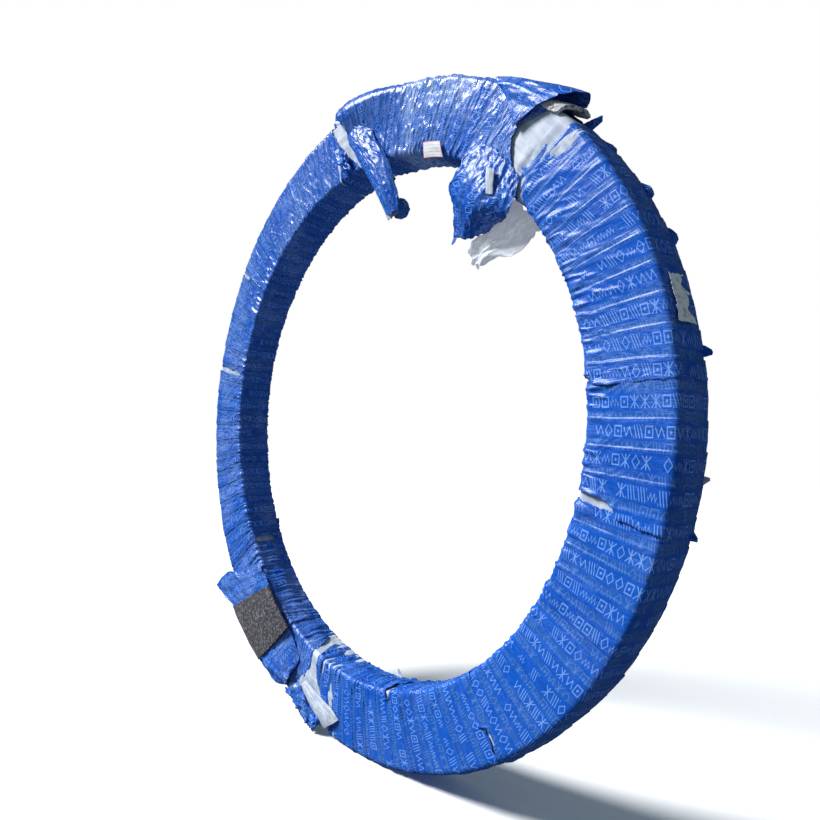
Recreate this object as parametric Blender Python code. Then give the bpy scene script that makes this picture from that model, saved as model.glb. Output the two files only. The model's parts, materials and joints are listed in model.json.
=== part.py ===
"""Slewing ring bearing, wrapped for transport and standing on its rim.

A single-row four-point-contact ball slewing ring with an internal gear: an outer ring, an inner
gear ring, six trains of balls and spacers, two lip seals, a ball loading plug with its taper pin
and four grease port plugs. It is packed in a white cloth liner and wound blue film, with loose
film flaps, felt pads and two labels.

Frame: metres, +Z up. The ring's axis is parallel to Y and its front faces -Y. The origin is the
middle of the flat where the wrap rests on the floor, straight below the ring's centre.
Angles around the ring are in degrees, from the top (+Z) towards +X.
"""
import math

import bmesh
import bpy
from mathutils import Matrix, Vector

MM = 0.001

# Rolling set
BALL_PITCH_RADIUS = 606.0 * MM
BALL_DIAMETER = 38.1 * MM
SPACER_LENGTH = 6.8 * MM
SPACER_RADIUS = 12.0 * MM
TRAIN_COUNT = 6
TRAIN_GAP = 0.6 * MM
RACEWAY_CLEARANCE = 1.0 * MM
LAND_TO_PITCH = 2.6 * MM

# Outer ring
OUTER_RING_WALL = 56.0 * MM
OUTER_RING_FRONT = -40.0 * MM
OUTER_RING_HEIGHT = 76.0 * MM
OUTER_BOLT_CIRCLE_INSET = 18.5 * MM

# Inner gear ring
INNER_RING_FRONT = -34.0 * MM
INNER_RING_HEIGHT = 74.0 * MM
GEAR_MODULE = 10.0 * MM
PITCH_LINE_INSET = 66.0 * MM
STUB_ADDENDUM = 0.85
DEDENDUM = 1.25
PRESSURE_ANGLE = 20.0
INNER_BOLT_CIRCLE_INSET = 36.5 * MM
GEAR_CUTTER_OVERCUT = 3.0 * MM

# Bolt holes, the same in both rings
BOLT_HOLE_DIAMETER = 21.0 * MM
BOLT_HOLE_COUNT = 36

# Seals
SEAL_HEIGHT = 4.0 * MM
SEAL_SEAT_DEPTH = 4.0 * MM
SEAL_CLEARANCE = 0.6 * MM
SEAL_LIP_GAP = 0.8 * MM
SEAL_SETBACK = 3.0 * MM

# Plugs and pin
LOADING_PLUG_DIAMETER = 40.0 * MM
LOADING_PLUG_ANGLE = 5.0
TAPER_PIN_DIAMETER = 10.0 * MM
TAPER_PIN_TAPER = 0.02
TAPER_PIN_LENGTH = 48.0 * MM
GREASE_PORT_DIAMETER = 10.0 * MM
GREASE_PORT_PLUG_LENGTH = 12.0 * MM
GREASE_PORT_ANGLES = (45.0, 135.0, 225.0, 315.0)
PLUG_FIT = 0.5 * MM
PLUG_RECESS = 0.6 * MM

# Packing
RADIAL_CLEARANCE = 2.1 * MM
AXIAL_CLEARANCE = 1.35 * MM
LINER_THICKNESS = 1.5 * MM
LAYER_GAP = 0.4 * MM
WRAP_THICKNESS = 2.0 * MM
BORE_EDGE_DROP = 4.0 * MM
SECTION_GAP = 1.5 * MM
FELT_THICKNESS = 6.0 * MM
FLAP_THICKNESS = 3.0 * MM
LABEL_THICKNESS = 0.4 * MM
SURFACE_GAP = 0.5 * MM

# Facets: every turned piece has the same number of steps, and one flat faces straight down
CIRCLE_STEPS = 60
STEP_ANGLE = 360.0 / CIRCLE_STEPS
FIRST_VERTEX_ANGLE = STEP_ANGLE / 2

# Film sections between the tears: name, first and last angle
WRAP_SECTIONS = (
    ("wrap_section_1", 51.0, 87.0),
    ("wrap_section_2", 87.0, 105.0),
    ("wrap_section_3", 105.0, 147.0),
    ("wrap_section_4", 147.0, 171.0),
    ("wrap_section_5", 171.0, 201.0),
    ("lower_patch_wrap", 201.0, 237.0),
    ("wrap_section_6", 237.0, 261.0),
    ("wrap_section_7", 261.0, 285.0),
    ("wrap_section_8", 285.0, 309.0),
    ("wrap_section_9", 309.0, 351.0),
    ("upper_patch_wrap", 351.0, 405.0),
)
LINER_SLEEVES = (
    ("liner_sleeve_1", 45.0, 135.0),
    ("liner_sleeve_2", 135.0, 225.0),
    ("liner_sleeve_3", 225.0, 315.0),
    ("liner_sleeve_4", 315.0, 405.0),
)

# Radii and heights that follow from the driving dimensions
BALL_RADIUS = BALL_DIAMETER / 2
OUTER_RADIUS = BALL_PITCH_RADIUS + OUTER_RING_WALL
OUTER_LAND_RADIUS = BALL_PITCH_RADIUS + LAND_TO_PITCH
INNER_LAND_RADIUS = BALL_PITCH_RADIUS - LAND_TO_PITCH
OUTER_RING_BACK = OUTER_RING_FRONT + OUTER_RING_HEIGHT
INNER_RING_BACK = INNER_RING_FRONT + INNER_RING_HEIGHT
TOOTH_COUNT = round(2 * (BALL_PITCH_RADIUS - PITCH_LINE_INSET) / GEAR_MODULE)
GEAR_PITCH_RADIUS = TOOTH_COUNT * GEAR_MODULE / 2
TOOTH_TIP_RADIUS = GEAR_PITCH_RADIUS - STUB_ADDENDUM * GEAR_MODULE
TOOTH_ROOT_RADIUS = GEAR_PITCH_RADIUS + DEDENDUM * GEAR_MODULE
BALLS_PER_TRAIN = int(
    math.tau * BALL_PITCH_RADIUS / (BALL_DIAMETER + SPACER_LENGTH) / TRAIN_COUNT)
FACET_FACTOR = math.cos(math.radians(STEP_ANGLE / 2))
FRONT_SEAL_FRONT = max(OUTER_RING_FRONT, INNER_RING_FRONT) + SEAL_SETBACK
BACK_SEAL_FRONT = min(OUTER_RING_BACK, INNER_RING_BACK) - SEAL_SETBACK - SEAL_HEIGHT

PACKED_FRONT = min(OUTER_RING_FRONT, INNER_RING_FRONT) - AXIAL_CLEARANCE
PACKED_BACK = max(OUTER_RING_BACK, INNER_RING_BACK) + AXIAL_CLEARANCE
WRAP_DEPTH = LINER_THICKNESS + LAYER_GAP + WRAP_THICKNESS
WRAP_OUTER_RADIUS = OUTER_RADIUS + RADIAL_CLEARANCE + WRAP_DEPTH
WRAP_BORE_RADIUS = TOOTH_TIP_RADIUS - RADIAL_CLEARANCE - WRAP_DEPTH
WRAP_FRONT = PACKED_FRONT - WRAP_DEPTH
WRAP_BACK = PACKED_BACK + WRAP_DEPTH
CENTRE_HEIGHT = WRAP_OUTER_RADIUS * FACET_FACTOR

# Finishes: base colour, roughness, metallic
FINISHES = {
    "ring_steel": ((0.42, 0.42, 0.41), 0.35, 1.0),
    "gear_steel": ((0.36, 0.36, 0.35), 0.40, 1.0),
    "ball_steel": ((0.60, 0.60, 0.60), 0.12, 1.0),
    "seal_rubber": ((0.02, 0.02, 0.02), 0.60, 0.0),
    "plug_steel": ((0.30, 0.30, 0.31), 0.30, 1.0),
    "liner_cloth": ((0.80, 0.82, 0.85), 0.75, 0.0),
    "blue_film": ((0.02, 0.10, 0.55), 0.35, 0.0),
    "grey_felt": ((0.12, 0.11, 0.11), 0.95, 0.0),
    "label_paper": ((0.85, 0.85, 0.83), 0.60, 0.0),
}


def clear_scene():
    """Remove every object so the script can be run again in the same file."""
    for old in list(bpy.data.objects):
        bpy.data.objects.remove(old, do_unlink=True)


def make_materials():
    """One Principled material for each finish."""
    for name, (colour, roughness, metallic) in FINISHES.items():
        material = bpy.data.materials.new(name)
        material.use_nodes = True
        shader = material.node_tree.nodes["Principled BSDF"]
        shader.inputs["Base Color"].default_value = (*colour, 1.0)
        shader.inputs["Roughness"].default_value = roughness
        shader.inputs["Metallic"].default_value = metallic


def make_axis(name, parent=None, location=(0.0, 0.0, 0.0)):
    """An empty on the ring's axis, which places the pieces parented to it."""
    axis = bpy.data.objects.new(name, None)
    axis.location = location
    axis.parent = parent
    bpy.context.collection.objects.link(axis)
    return axis


def add_object(name, bm, finish, parent):
    """Turn a bmesh into a named object with its finish, parented to an axis empty."""
    bmesh.ops.recalc_face_normals(bm, faces=bm.faces)
    mesh = bpy.data.meshes.new(name)
    bm.to_mesh(mesh)
    bm.free()
    mesh.materials.append(bpy.data.materials[finish])
    mesh.shade_smooth()
    mesh.set_sharp_from_angle(angle=math.radians(25))
    piece = bpy.data.objects.new(name, mesh)
    piece.parent = parent
    bpy.context.collection.objects.link(piece)
    return piece


def add_cutter(name, bm, parent):
    """A solid that only cuts: it is not a piece of the bearing."""
    cutter = add_object(name, bm, "ring_steel", parent)
    cutter.hide_render = True
    cutter.display_type = "WIRE"
    return cutter


def cut(piece, cutter):
    """Take the cutter's shape out of a piece."""
    modifier = piece.modifiers.new(cutter.name, "BOOLEAN")
    modifier.operation = "DIFFERENCE"
    modifier.solver = "EXACT"
    modifier.object = cutter


def on_ring(angle, radius, y=0.0):
    """The point at an angle and radius around the ring's axis."""
    turn = math.radians(angle)
    return Vector((radius * math.sin(turn), y, radius * math.cos(turn)))


def turned_ring(profile):
    """A full ring turned from a closed profile of (radius, y) points."""
    bm = bmesh.new()
    verts = [bm.verts.new(on_ring(FIRST_VERTEX_ANGLE, radius, y)) for radius, y in profile]
    edges = [bm.edges.new((verts[i - 1], verts[i])) for i in range(len(verts))]
    bmesh.ops.spin(bm, geom=verts + edges, cent=(0, 0, 0), axis=(0, 1, 0),
                   angle=math.tau, steps=CIRCLE_STEPS)
    bmesh.ops.remove_doubles(bm, verts=bm.verts, dist=0.00001)
    return bm


def sleeve(outer, inner, start, end):
    """A length of sleeve: the band between two profiles, swept from start to end angle."""
    steps = round((end - start) / STEP_ANGLE)
    half_gap = math.degrees(SECTION_GAP / 2 / WRAP_BORE_RADIUS)
    bm = bmesh.new()
    previous = None
    for step in range(steps + 1):
        angle = start + step * STEP_ANGLE
        trim = half_gap if step == 0 else -half_gap if step == steps else 0.0
        stretch = facet_stretch(trim)
        loops = [[bm.verts.new(on_ring(angle + trim, radius * stretch, y)) for radius, y in side]
                 for side in (outer, inner)]
        if previous is None:
            join_loops(bm, loops[0], loops[1])
        else:
            join_loops(bm, previous[0], loops[0])
            join_loops(bm, previous[1], loops[1])
        previous = loops
    join_loops(bm, previous[0], previous[1])
    return bm


def facet_stretch(trim):
    """How far in a trimmed end lies, so that it stays on the facet's flat."""
    half_step = math.radians(STEP_ANGLE / 2)
    return math.cos(half_step) / math.cos(half_step - math.radians(abs(trim)))


def join_loops(bm, first, second):
    """Quads between two closed loops with the same number of corners."""
    for i in range(len(first)):
        bm.faces.new((first[i - 1], first[i], second[i], second[i - 1]))


def plate(outline, front, back):
    """A flat plate: an outline of (angle, radius) points, from y = front to y = back."""
    bm = bmesh.new()
    face = bm.faces.new([bm.verts.new(on_ring(angle, radius, front)) for angle, radius in outline])
    grown = bmesh.ops.extrude_face_region(bm, geom=[face])["geom"]
    moved = [item for item in grown if isinstance(item, bmesh.types.BMVert)]
    bmesh.ops.translate(bm, verts=moved, vec=(0, back - front, 0))
    return bm


def arc(start, end, radius, end_radius=None, steps=6):
    """Outline points along an arc, whose radius may change evenly on the way."""
    last = radius if end_radius is None else end_radius
    return [(start + (end - start) * i / steps, radius + (last - radius) * i / steps)
            for i in range(steps + 1)]


def add_cylinder(bm, centre, direction, radius, length, segments, end_radius=None):
    """Add a capped cylinder or cone, its flats and not its edges towards the ring's axis."""
    half_segment = Matrix.Rotation(math.pi / segments, 4, "Z")
    turn = direction.to_track_quat("Z", "Y").to_matrix().to_4x4() @ half_segment
    bmesh.ops.create_cone(
        bm, cap_ends=True, segments=segments, radius1=radius,
        radius2=radius if end_radius is None else end_radius, depth=length,
        matrix=Matrix.Translation(centre) @ turn)


def raceway(depth_sign, groove_radius):
    """Groove points from the front land to the back land, as (radius, y)."""
    half_width = math.sqrt(groove_radius ** 2 - LAND_TO_PITCH ** 2)
    land = BALL_PITCH_RADIUS + depth_sign * LAND_TO_PITCH
    points = [(land, -half_width)]
    for angle in (-54.0, -18.0, 18.0, 54.0):
        turn = math.radians(angle)
        radius = BALL_PITCH_RADIUS + depth_sign * groove_radius * math.cos(turn)
        points.append((radius, groove_radius * math.sin(turn)))
    points.append((land, half_width))
    return points


def outer_groove_radius():
    """Groove radius that clears the balls over the ring's facets and the groove's own."""
    facet_loss = (BALL_PITCH_RADIUS + BALL_RADIUS) * (1 - FACET_FACTOR)
    return (BALL_RADIUS + RACEWAY_CLEARANCE / 2 + facet_loss) / math.cos(math.radians(18))


def inner_groove_radius():
    """Groove radius that clears the balls over the groove's own facets."""
    return (BALL_RADIUS + RACEWAY_CLEARANCE / 2) / math.cos(math.radians(18))


def bolt_hole_cutter(name, radius, parent):
    """All the bolt holes of one ring."""
    bm = bmesh.new()
    depth = 2 * (WRAP_BACK - WRAP_FRONT)
    for i in range(BOLT_HOLE_COUNT):
        centre = on_ring(360.0 * i / BOLT_HOLE_COUNT, radius)
        add_cylinder(bm, centre, Vector((0, 1, 0)), BOLT_HOLE_DIAMETER / 2, depth, 8)
    return add_cutter(name, bm, parent)


def radial_span(inner, outer, angle):
    """The middle and the length of a radial hole or plug."""
    return on_ring(angle, (inner + outer) / 2), outer - inner


def radial_hole_cutter(name, angle, diameter, segments, parent):
    """A radial hole from the raceway out through the outer ring."""
    bm = bmesh.new()
    centre, length = radial_span(BALL_PITCH_RADIUS + BALL_RADIUS / 2, OUTER_RADIUS + 0.02, angle)
    add_cylinder(bm, centre, on_ring(angle, 1.0), diameter / 2, length, segments)
    return add_cutter(name, bm, parent)


def pin_radius_from_axis():
    """The taper pin crosses the loading plug half way along it."""
    return (BALL_PITCH_RADIUS + BALL_RADIUS + OUTER_RADIUS) / 2


def taper_pin_cutter(parent):
    """The pin's hole, from the outer ring's front face into the loading plug."""
    bm = bmesh.new()
    length = TAPER_PIN_LENGTH + 2 * PLUG_RECESS
    centre = on_ring(LOADING_PLUG_ANGLE, pin_radius_from_axis(), OUTER_RING_FRONT + length / 2)
    centre.y -= PLUG_RECESS
    add_cylinder(bm, centre, Vector((0, 1, 0)), TAPER_PIN_DIAMETER / 2 + PLUG_FIT,
                 length + 2 * PLUG_RECESS, 10)
    return add_cutter("taper_pin_hole", bm, parent)


def make_outer_ring(parent):
    """The plain outer ring, with its raceway, seal seat, bolt holes and radial ports."""
    seat = OUTER_LAND_RADIUS + SEAL_SEAT_DEPTH
    seat_front = FRONT_SEAL_FRONT - SEAL_CLEARANCE
    seat_back = seat_front + SEAL_HEIGHT + 2 * SEAL_CLEARANCE
    profile = [(OUTER_RADIUS, OUTER_RING_BACK), (OUTER_RADIUS, OUTER_RING_FRONT),
               (OUTER_LAND_RADIUS, OUTER_RING_FRONT), (OUTER_LAND_RADIUS, seat_front),
               (seat, seat_front), (seat, seat_back), (OUTER_LAND_RADIUS, seat_back)]
    profile += raceway(1, outer_groove_radius())
    profile.append((OUTER_LAND_RADIUS, OUTER_RING_BACK))
    ring = add_object("outer_ring", turned_ring(profile), "ring_steel", parent)
    cut(ring, bolt_hole_cutter("outer_bolt_holes", OUTER_RADIUS - OUTER_BOLT_CIRCLE_INSET, parent))
    cut(ring, radial_hole_cutter("loading_hole", LOADING_PLUG_ANGLE,
                                 LOADING_PLUG_DIAMETER + 2 * PLUG_FIT, 16, parent))
    for number, angle in enumerate(GREASE_PORT_ANGLES, start=1):
        cut(ring, radial_hole_cutter(f"grease_port_{number}", angle,
                                     GREASE_PORT_DIAMETER + 2 * PLUG_FIT, 8, parent))
    return ring


def make_inner_gear_ring(parent):
    """The inner ring: its raceway and seal seat outside, its teeth inside."""
    seat = INNER_LAND_RADIUS - SEAL_SEAT_DEPTH
    seat_front = BACK_SEAL_FRONT - SEAL_CLEARANCE
    seat_back = seat_front + SEAL_HEIGHT + 2 * SEAL_CLEARANCE
    blank_bore = TOOTH_TIP_RADIUS - GEAR_CUTTER_OVERCUT
    profile = [(blank_bore, INNER_RING_BACK), (blank_bore, INNER_RING_FRONT),
               (INNER_LAND_RADIUS, INNER_RING_FRONT)]
    profile += raceway(-1, inner_groove_radius())
    profile += [(INNER_LAND_RADIUS, seat_front), (seat, seat_front), (seat, seat_back),
                (INNER_LAND_RADIUS, seat_back), (INNER_LAND_RADIUS, INNER_RING_BACK)]
    ring = add_object("inner_gear_ring", turned_ring(profile), "gear_steel", parent)
    cut(ring, bolt_hole_cutter("inner_bolt_holes",
                               BALL_PITCH_RADIUS - INNER_BOLT_CIRCLE_INSET, parent))
    cut(ring, gear_cutter(parent))
    return ring


def gear_cutter(parent):
    """A disc with the outline of the internal gear's bore and tooth spaces."""
    spread = math.tan(math.radians(PRESSURE_ANGLE))
    half_thickness = math.pi * GEAR_MODULE / 4
    tip_half = math.degrees((half_thickness - spread * STUB_ADDENDUM * GEAR_MODULE)
                            / TOOTH_TIP_RADIUS)
    root_half = math.degrees((half_thickness + spread * DEDENDUM * GEAR_MODULE)
                             / TOOTH_ROOT_RADIUS)
    outline = []
    for tooth in range(TOOTH_COUNT):
        middle = 360.0 * tooth / TOOTH_COUNT
        outline += [(middle - root_half, TOOTH_ROOT_RADIUS), (middle - tip_half, TOOTH_TIP_RADIUS),
                    (middle + tip_half, TOOTH_TIP_RADIUS), (middle + root_half, TOOTH_ROOT_RADIUS)]
    return add_cutter("tooth_spaces", plate(outline, 2 * WRAP_FRONT, 2 * WRAP_BACK), parent)


def make_ball_trains(parent):
    """Trains of balls with a spacer between each two, as beads along the pitch circle."""
    pitch_angle = 360.0 / (TRAIN_COUNT * BALLS_PER_TRAIN)
    half_gap = math.degrees(TRAIN_GAP / 2 / BALL_PITCH_RADIUS)
    seat_offset = math.sqrt(BALL_RADIUS ** 2 - SPACER_RADIUS ** 2)
    shoulder_offset = seat_offset * 0.47
    shoulder_radius = math.sqrt(BALL_RADIUS ** 2 - shoulder_offset ** 2)
    seat_angle = math.degrees(seat_offset / BALL_PITCH_RADIUS)
    shoulder_angle = math.degrees(shoulder_offset / BALL_PITCH_RADIUS)
    bead = ((-seat_angle, SPACER_RADIUS), (-shoulder_angle, shoulder_radius),
            (shoulder_angle, shoulder_radius), (seat_angle, SPACER_RADIUS))
    for train in range(TRAIN_COUNT):
        first = train * BALLS_PER_TRAIN * pitch_angle
        start = first - pitch_angle / 2 + half_gap
        end = first + (BALLS_PER_TRAIN - 0.5) * pitch_angle - half_gap
        stations = [(start, SPACER_RADIUS)]
        for ball in range(BALLS_PER_TRAIN):
            stations += [(first + ball * pitch_angle + offset, radius) for offset, radius in bead]
        stations.append((end, SPACER_RADIUS))
        add_beads(f"ball_train_{train + 1}", stations, parent)


def add_beads(name, stations, parent):
    """A bevelled curve along the pitch circle, with its own radius at each station."""
    curve = bpy.data.curves.new(name, "CURVE")
    curve.dimensions = "3D"
    curve.bevel_depth = 1.0
    curve.bevel_resolution = 1
    curve.use_fill_caps = True
    spline = curve.splines.new("POLY")
    spline.points.add(len(stations) - 1)
    for point, (angle, radius) in zip(spline.points, stations):
        point.co = (*on_ring(angle, BALL_PITCH_RADIUS), 1.0)
        point.radius = radius
    curve.materials.append(bpy.data.materials["ball_steel"])
    train = bpy.data.objects.new(name, curve)
    train.parent = parent
    bpy.context.collection.objects.link(train)


def make_seals(outer_parent, inner_parent):
    """The front seal sits in the outer ring and the back seal in the inner ring."""
    lip = INNER_LAND_RADIUS / FACET_FACTOR + SEAL_LIP_GAP / 2
    seat = OUTER_LAND_RADIUS + SEAL_SEAT_DEPTH - SEAL_CLEARANCE
    add_object("front_seal", turned_ring(seal_profile(seat, lip, FRONT_SEAL_FRONT)),
               "seal_rubber", outer_parent)
    lip = OUTER_LAND_RADIUS * FACET_FACTOR - SEAL_LIP_GAP / 2
    seat = INNER_LAND_RADIUS - SEAL_SEAT_DEPTH + SEAL_CLEARANCE
    add_object("back_seal", turned_ring(seal_profile(seat, lip, BACK_SEAL_FRONT)),
               "seal_rubber", inner_parent)


def seal_profile(seat, lip, front):
    """A seal strip that thins towards its lip."""
    back = front + SEAL_HEIGHT
    return [(seat, front), (seat, back), (lip, back - SEAL_HEIGHT / 4),
            (lip, front + SEAL_HEIGHT / 4)]


def make_plugs(ring, parent):
    """The loading plug, its taper pin and the grease port plugs."""
    pin_hole = taper_pin_cutter(parent)
    cut(ring, pin_hole)
    bm = bmesh.new()
    inner_end = BALL_PITCH_RADIUS + BALL_RADIUS + RACEWAY_CLEARANCE
    centre, length = radial_span(inner_end, OUTER_RADIUS * FACET_FACTOR - PLUG_RECESS,
                                 LOADING_PLUG_ANGLE)
    add_cylinder(bm, centre, on_ring(LOADING_PLUG_ANGLE, 1.0), LOADING_PLUG_DIAMETER / 2, length, 16)
    cut(add_object("loading_plug", bm, "plug_steel", parent), pin_hole)
    make_taper_pin(parent)
    for number, angle in enumerate(GREASE_PORT_ANGLES, start=1):
        bm = bmesh.new()
        outer_end = OUTER_RADIUS * FACET_FACTOR - PLUG_RECESS
        centre, length = radial_span(outer_end - GREASE_PORT_PLUG_LENGTH, outer_end, angle)
        add_cylinder(bm, centre, on_ring(angle, 1.0), GREASE_PORT_DIAMETER / 2, length, 8)
        add_object(f"grease_port_plug_{number}", bm, "plug_steel", parent)


def make_taper_pin(parent):
    """The pin narrows by one part in fifty towards its inner end."""
    bm = bmesh.new()
    centre = on_ring(LOADING_PLUG_ANGLE, pin_radius_from_axis(),
                     OUTER_RING_FRONT + PLUG_RECESS + TAPER_PIN_LENGTH / 2)
    small = TAPER_PIN_DIAMETER / 2 - TAPER_PIN_TAPER * TAPER_PIN_LENGTH / 2
    add_cylinder(bm, centre, Vector((0, -1, 0)), small, TAPER_PIN_LENGTH, 10,
                 TAPER_PIN_DIAMETER / 2)
    add_object("plug_taper_pin", bm, "plug_steel", parent)


def packing_profile(inset):
    """The packing's outline, drawn in from the wrap's outer surface by an inset."""
    outer, bore = WRAP_OUTER_RADIUS - inset, WRAP_BORE_RADIUS + inset
    front, back = WRAP_FRONT + inset, WRAP_BACK - inset
    return [(outer, front), (outer, back), (bore, back), (bore, front + BORE_EDGE_DROP),
            (OUTER_LAND_RADIUS, front)]


def make_packing(parent):
    """The cloth liner, in four lengths, and the wound film, in sections between the tears."""
    surface = 0.0
    film_back = WRAP_THICKNESS
    cloth_face = film_back + LAYER_GAP
    cloth_back = cloth_face + LINER_THICKNESS
    for name, start, end in LINER_SLEEVES:
        bm = sleeve(packing_profile(cloth_face), packing_profile(cloth_back), start, end)
        add_object(name, bm, "liner_cloth", parent)
    for name, start, end in WRAP_SECTIONS:
        bm = sleeve(packing_profile(surface), packing_profile(film_back), start, end)
        add_object(name, bm, "blue_film", parent)


def from_bore(points):
    """Outline points given as (angle, distance outside the wrap's bore)."""
    return [(angle, WRAP_BORE_RADIUS + offset * MM) for angle, offset in points]


def from_rim(points):
    """Outline points given as (angle, distance outside the wrap's rim)."""
    return [(angle, WRAP_OUTER_RADIUS + offset * MM) for angle, offset in points]


def add_layer(name, outline, height, thickness, finish, parent):
    """A plate that lies over the front face, its near side a height above the wrap."""
    near = WRAP_FRONT - height
    add_object(name, plate(outline, near - thickness, near), finish, parent)


def make_upper_flaps(parent):
    """Loose film, cloth and felt where the upper patch was wound on and left open."""
    rolled = from_bore([(357.0, 124), (2.7, 108), (6.5, 10), (13.3, -58), (16.5, -115),
                        (9.1, -121), (2.0, -38), (357.6, 50)])
    add_layer("rolled_flap", rolled, SURFACE_GAP, 4 * FLAP_THICKNESS, "blue_film", parent)

    bore_edge = WRAP_BORE_RADIUS * FACET_FACTOR - SURFACE_GAP
    hanging = arc(35.5, 50.5, bore_edge)
    hanging += from_bore([(52.1, -44), (50.0, -76), (46.5, -105), (42.5, -108), (40.2, -132),
                          (38.8, -98), (36.0, -65), (32.5, -56)])
    add_object("hanging_flap", plate(hanging, WRAP_FRONT + BORE_EDGE_DROP,
                                     WRAP_FRONT + BORE_EDGE_DROP + 2 * FLAP_THICKNESS),
               "blue_film", parent)

    cloth = arc(46.0, 52.0, bore_edge)
    cloth += from_bore([(55.8, -20), (53.8, -50), (57.2, -70), (51.9, -100), (48.6, -141),
                        (41.6, -113), (44.5, -60)])
    add_object("liner_tail", plate(cloth, -2 * FLAP_THICKNESS, 0.0), "liner_cloth", parent)

    rim = WRAP_OUTER_RADIUS + SURFACE_GAP
    felt = arc(42.0, 48.0, rim) + arc(48.0, 42.0, rim + FELT_THICKNESS)
    add_object("felt_pad_upper", plate(felt, WRAP_FRONT / 2, WRAP_BACK / 2), "grey_felt", parent)

    clear_of_felt = rim + FELT_THICKNESS + SURFACE_GAP
    peak = clear_of_felt + 28 * MM
    film = arc(41.0, 48.0, clear_of_felt, peak)
    film += arc(48.5, 30.0, peak + FLAP_THICKNESS, rim + FLAP_THICKNESS)
    film += arc(30.5, 41.0, rim, rim + 2 * SURFACE_GAP, 3)[:-1]
    add_object("pointed_flap", plate(film, 0.9 * WRAP_FRONT, 0.6 * WRAP_BACK), "blue_film", parent)


def make_lower_flaps(parent):
    """The lower patch's loose sheet, its twisted tail, the felt pad and a cloth corner."""
    sheet = from_bore([(235.8, 230), (236.1, 165), (231.0, 60), (229.0, 8), (216.0, 8),
                       (206.0, 12), (204.0, 110), (213.5, 150), (227.5, 168)])
    add_layer("lower_flap", sheet, SURFACE_GAP, FLAP_THICKNESS, "blue_film", parent)
    felt = from_bore([(228.0, 169), (221.5, -12), (208.2, 2), (213.7, 154)])
    add_layer("felt_pad_lower", felt, FLAP_THICKNESS + 2 * SURFACE_GAP, FELT_THICKNESS,
              "grey_felt", parent)
    corner = from_bore([(198.6, 84), (186.4, 104), (190.5, 142), (193.0, 140)])
    add_layer("liner_corner", corner, SURFACE_GAP, LINER_THICKNESS, "liner_cloth", parent)
    tail = from_bore([(203.6, 116), (199.3, 80), (190.8, 118), (194.0, 141)])
    add_layer("twisted_tail", tail, LINER_THICKNESS + 2 * SURFACE_GAP, 4 * FLAP_THICKNESS,
              "blue_film", parent)


def make_labels(parent):
    """A paper label on the front of the upper patch and a torn one on the rim."""
    paper = from_bore([(21.6, 30), (26.4, 32), (27.4, 1), (22.2, -5)])
    add_layer("paper_label", paper, SURFACE_GAP, LABEL_THICKNESS, "label_paper", parent)
    flat = WRAP_OUTER_RADIUS * FACET_FACTOR + SURFACE_GAP
    middle = 78.0
    half = 2.6
    side = flat / math.cos(math.radians(half))
    far_side = side + LABEL_THICKNESS
    torn = [(middle - half, side), (middle + half, side), (middle + half, far_side),
            (middle - half, far_side)]
    add_object("torn_label", plate(torn, 0.4 * WRAP_FRONT, 0.8 * WRAP_BACK), "label_paper", parent)


def main():
    clear_scene()
    make_materials()
    centre = make_axis("bearing_axis", location=(0.0, 0.0, CENTRE_HEIGHT))
    inner_axis = make_axis("inner_ring_axis", centre)
    ball_axis = make_axis("ball_set_axis", centre)
    ring = make_outer_ring(centre)
    make_inner_gear_ring(inner_axis)
    make_ball_trains(ball_axis)
    make_seals(centre, inner_axis)
    make_plugs(ring, centre)
    make_packing(centre)
    make_upper_flaps(centre)
    make_lower_flaps(centre)
    make_labels(centre)


main()
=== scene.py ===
"""The looks of a slewing ring bearing in its transport wrapping.

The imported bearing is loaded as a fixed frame. Its soft pieces are then made again as real sheets:
wound printed film in sections, the cloth liner under it, loose flaps, felt pads and labels.
"""
import json
import math

import bmesh
import bpy
import numpy as np
from bpy.props import FloatProperty, FloatVectorProperty, IntProperty, PointerProperty
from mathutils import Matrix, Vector


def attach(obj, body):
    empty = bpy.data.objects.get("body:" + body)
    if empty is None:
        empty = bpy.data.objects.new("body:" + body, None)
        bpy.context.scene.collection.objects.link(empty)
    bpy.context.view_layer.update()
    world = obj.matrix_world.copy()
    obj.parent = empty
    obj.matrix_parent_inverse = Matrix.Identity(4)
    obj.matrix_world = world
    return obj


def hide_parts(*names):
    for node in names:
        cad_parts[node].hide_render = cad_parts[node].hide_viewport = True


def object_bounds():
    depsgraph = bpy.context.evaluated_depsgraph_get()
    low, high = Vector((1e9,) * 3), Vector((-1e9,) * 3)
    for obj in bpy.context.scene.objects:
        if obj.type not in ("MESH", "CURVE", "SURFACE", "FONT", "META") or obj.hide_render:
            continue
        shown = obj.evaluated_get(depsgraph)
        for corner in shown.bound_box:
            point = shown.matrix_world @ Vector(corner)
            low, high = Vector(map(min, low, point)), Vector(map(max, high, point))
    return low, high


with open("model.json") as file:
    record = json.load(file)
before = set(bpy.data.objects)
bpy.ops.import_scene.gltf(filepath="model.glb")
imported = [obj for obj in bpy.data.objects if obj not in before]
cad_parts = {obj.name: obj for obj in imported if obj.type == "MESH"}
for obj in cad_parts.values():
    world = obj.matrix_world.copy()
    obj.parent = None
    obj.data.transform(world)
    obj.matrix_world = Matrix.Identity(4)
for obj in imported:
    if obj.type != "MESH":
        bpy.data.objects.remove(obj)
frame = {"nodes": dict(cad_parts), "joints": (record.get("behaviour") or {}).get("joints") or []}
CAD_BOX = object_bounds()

bl_info = {
    "name": "Wrapped slewing ring bearing",
    "version": (1, 0, 0),
    "blender": (4, 5, 0),
    "location": "3D View > Sidebar > Slewing ring",
    "description": "Winds, drapes and finishes the wrapping of a slewing ring bearing",
    "category": "Object",
}

MM = 0.001
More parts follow.
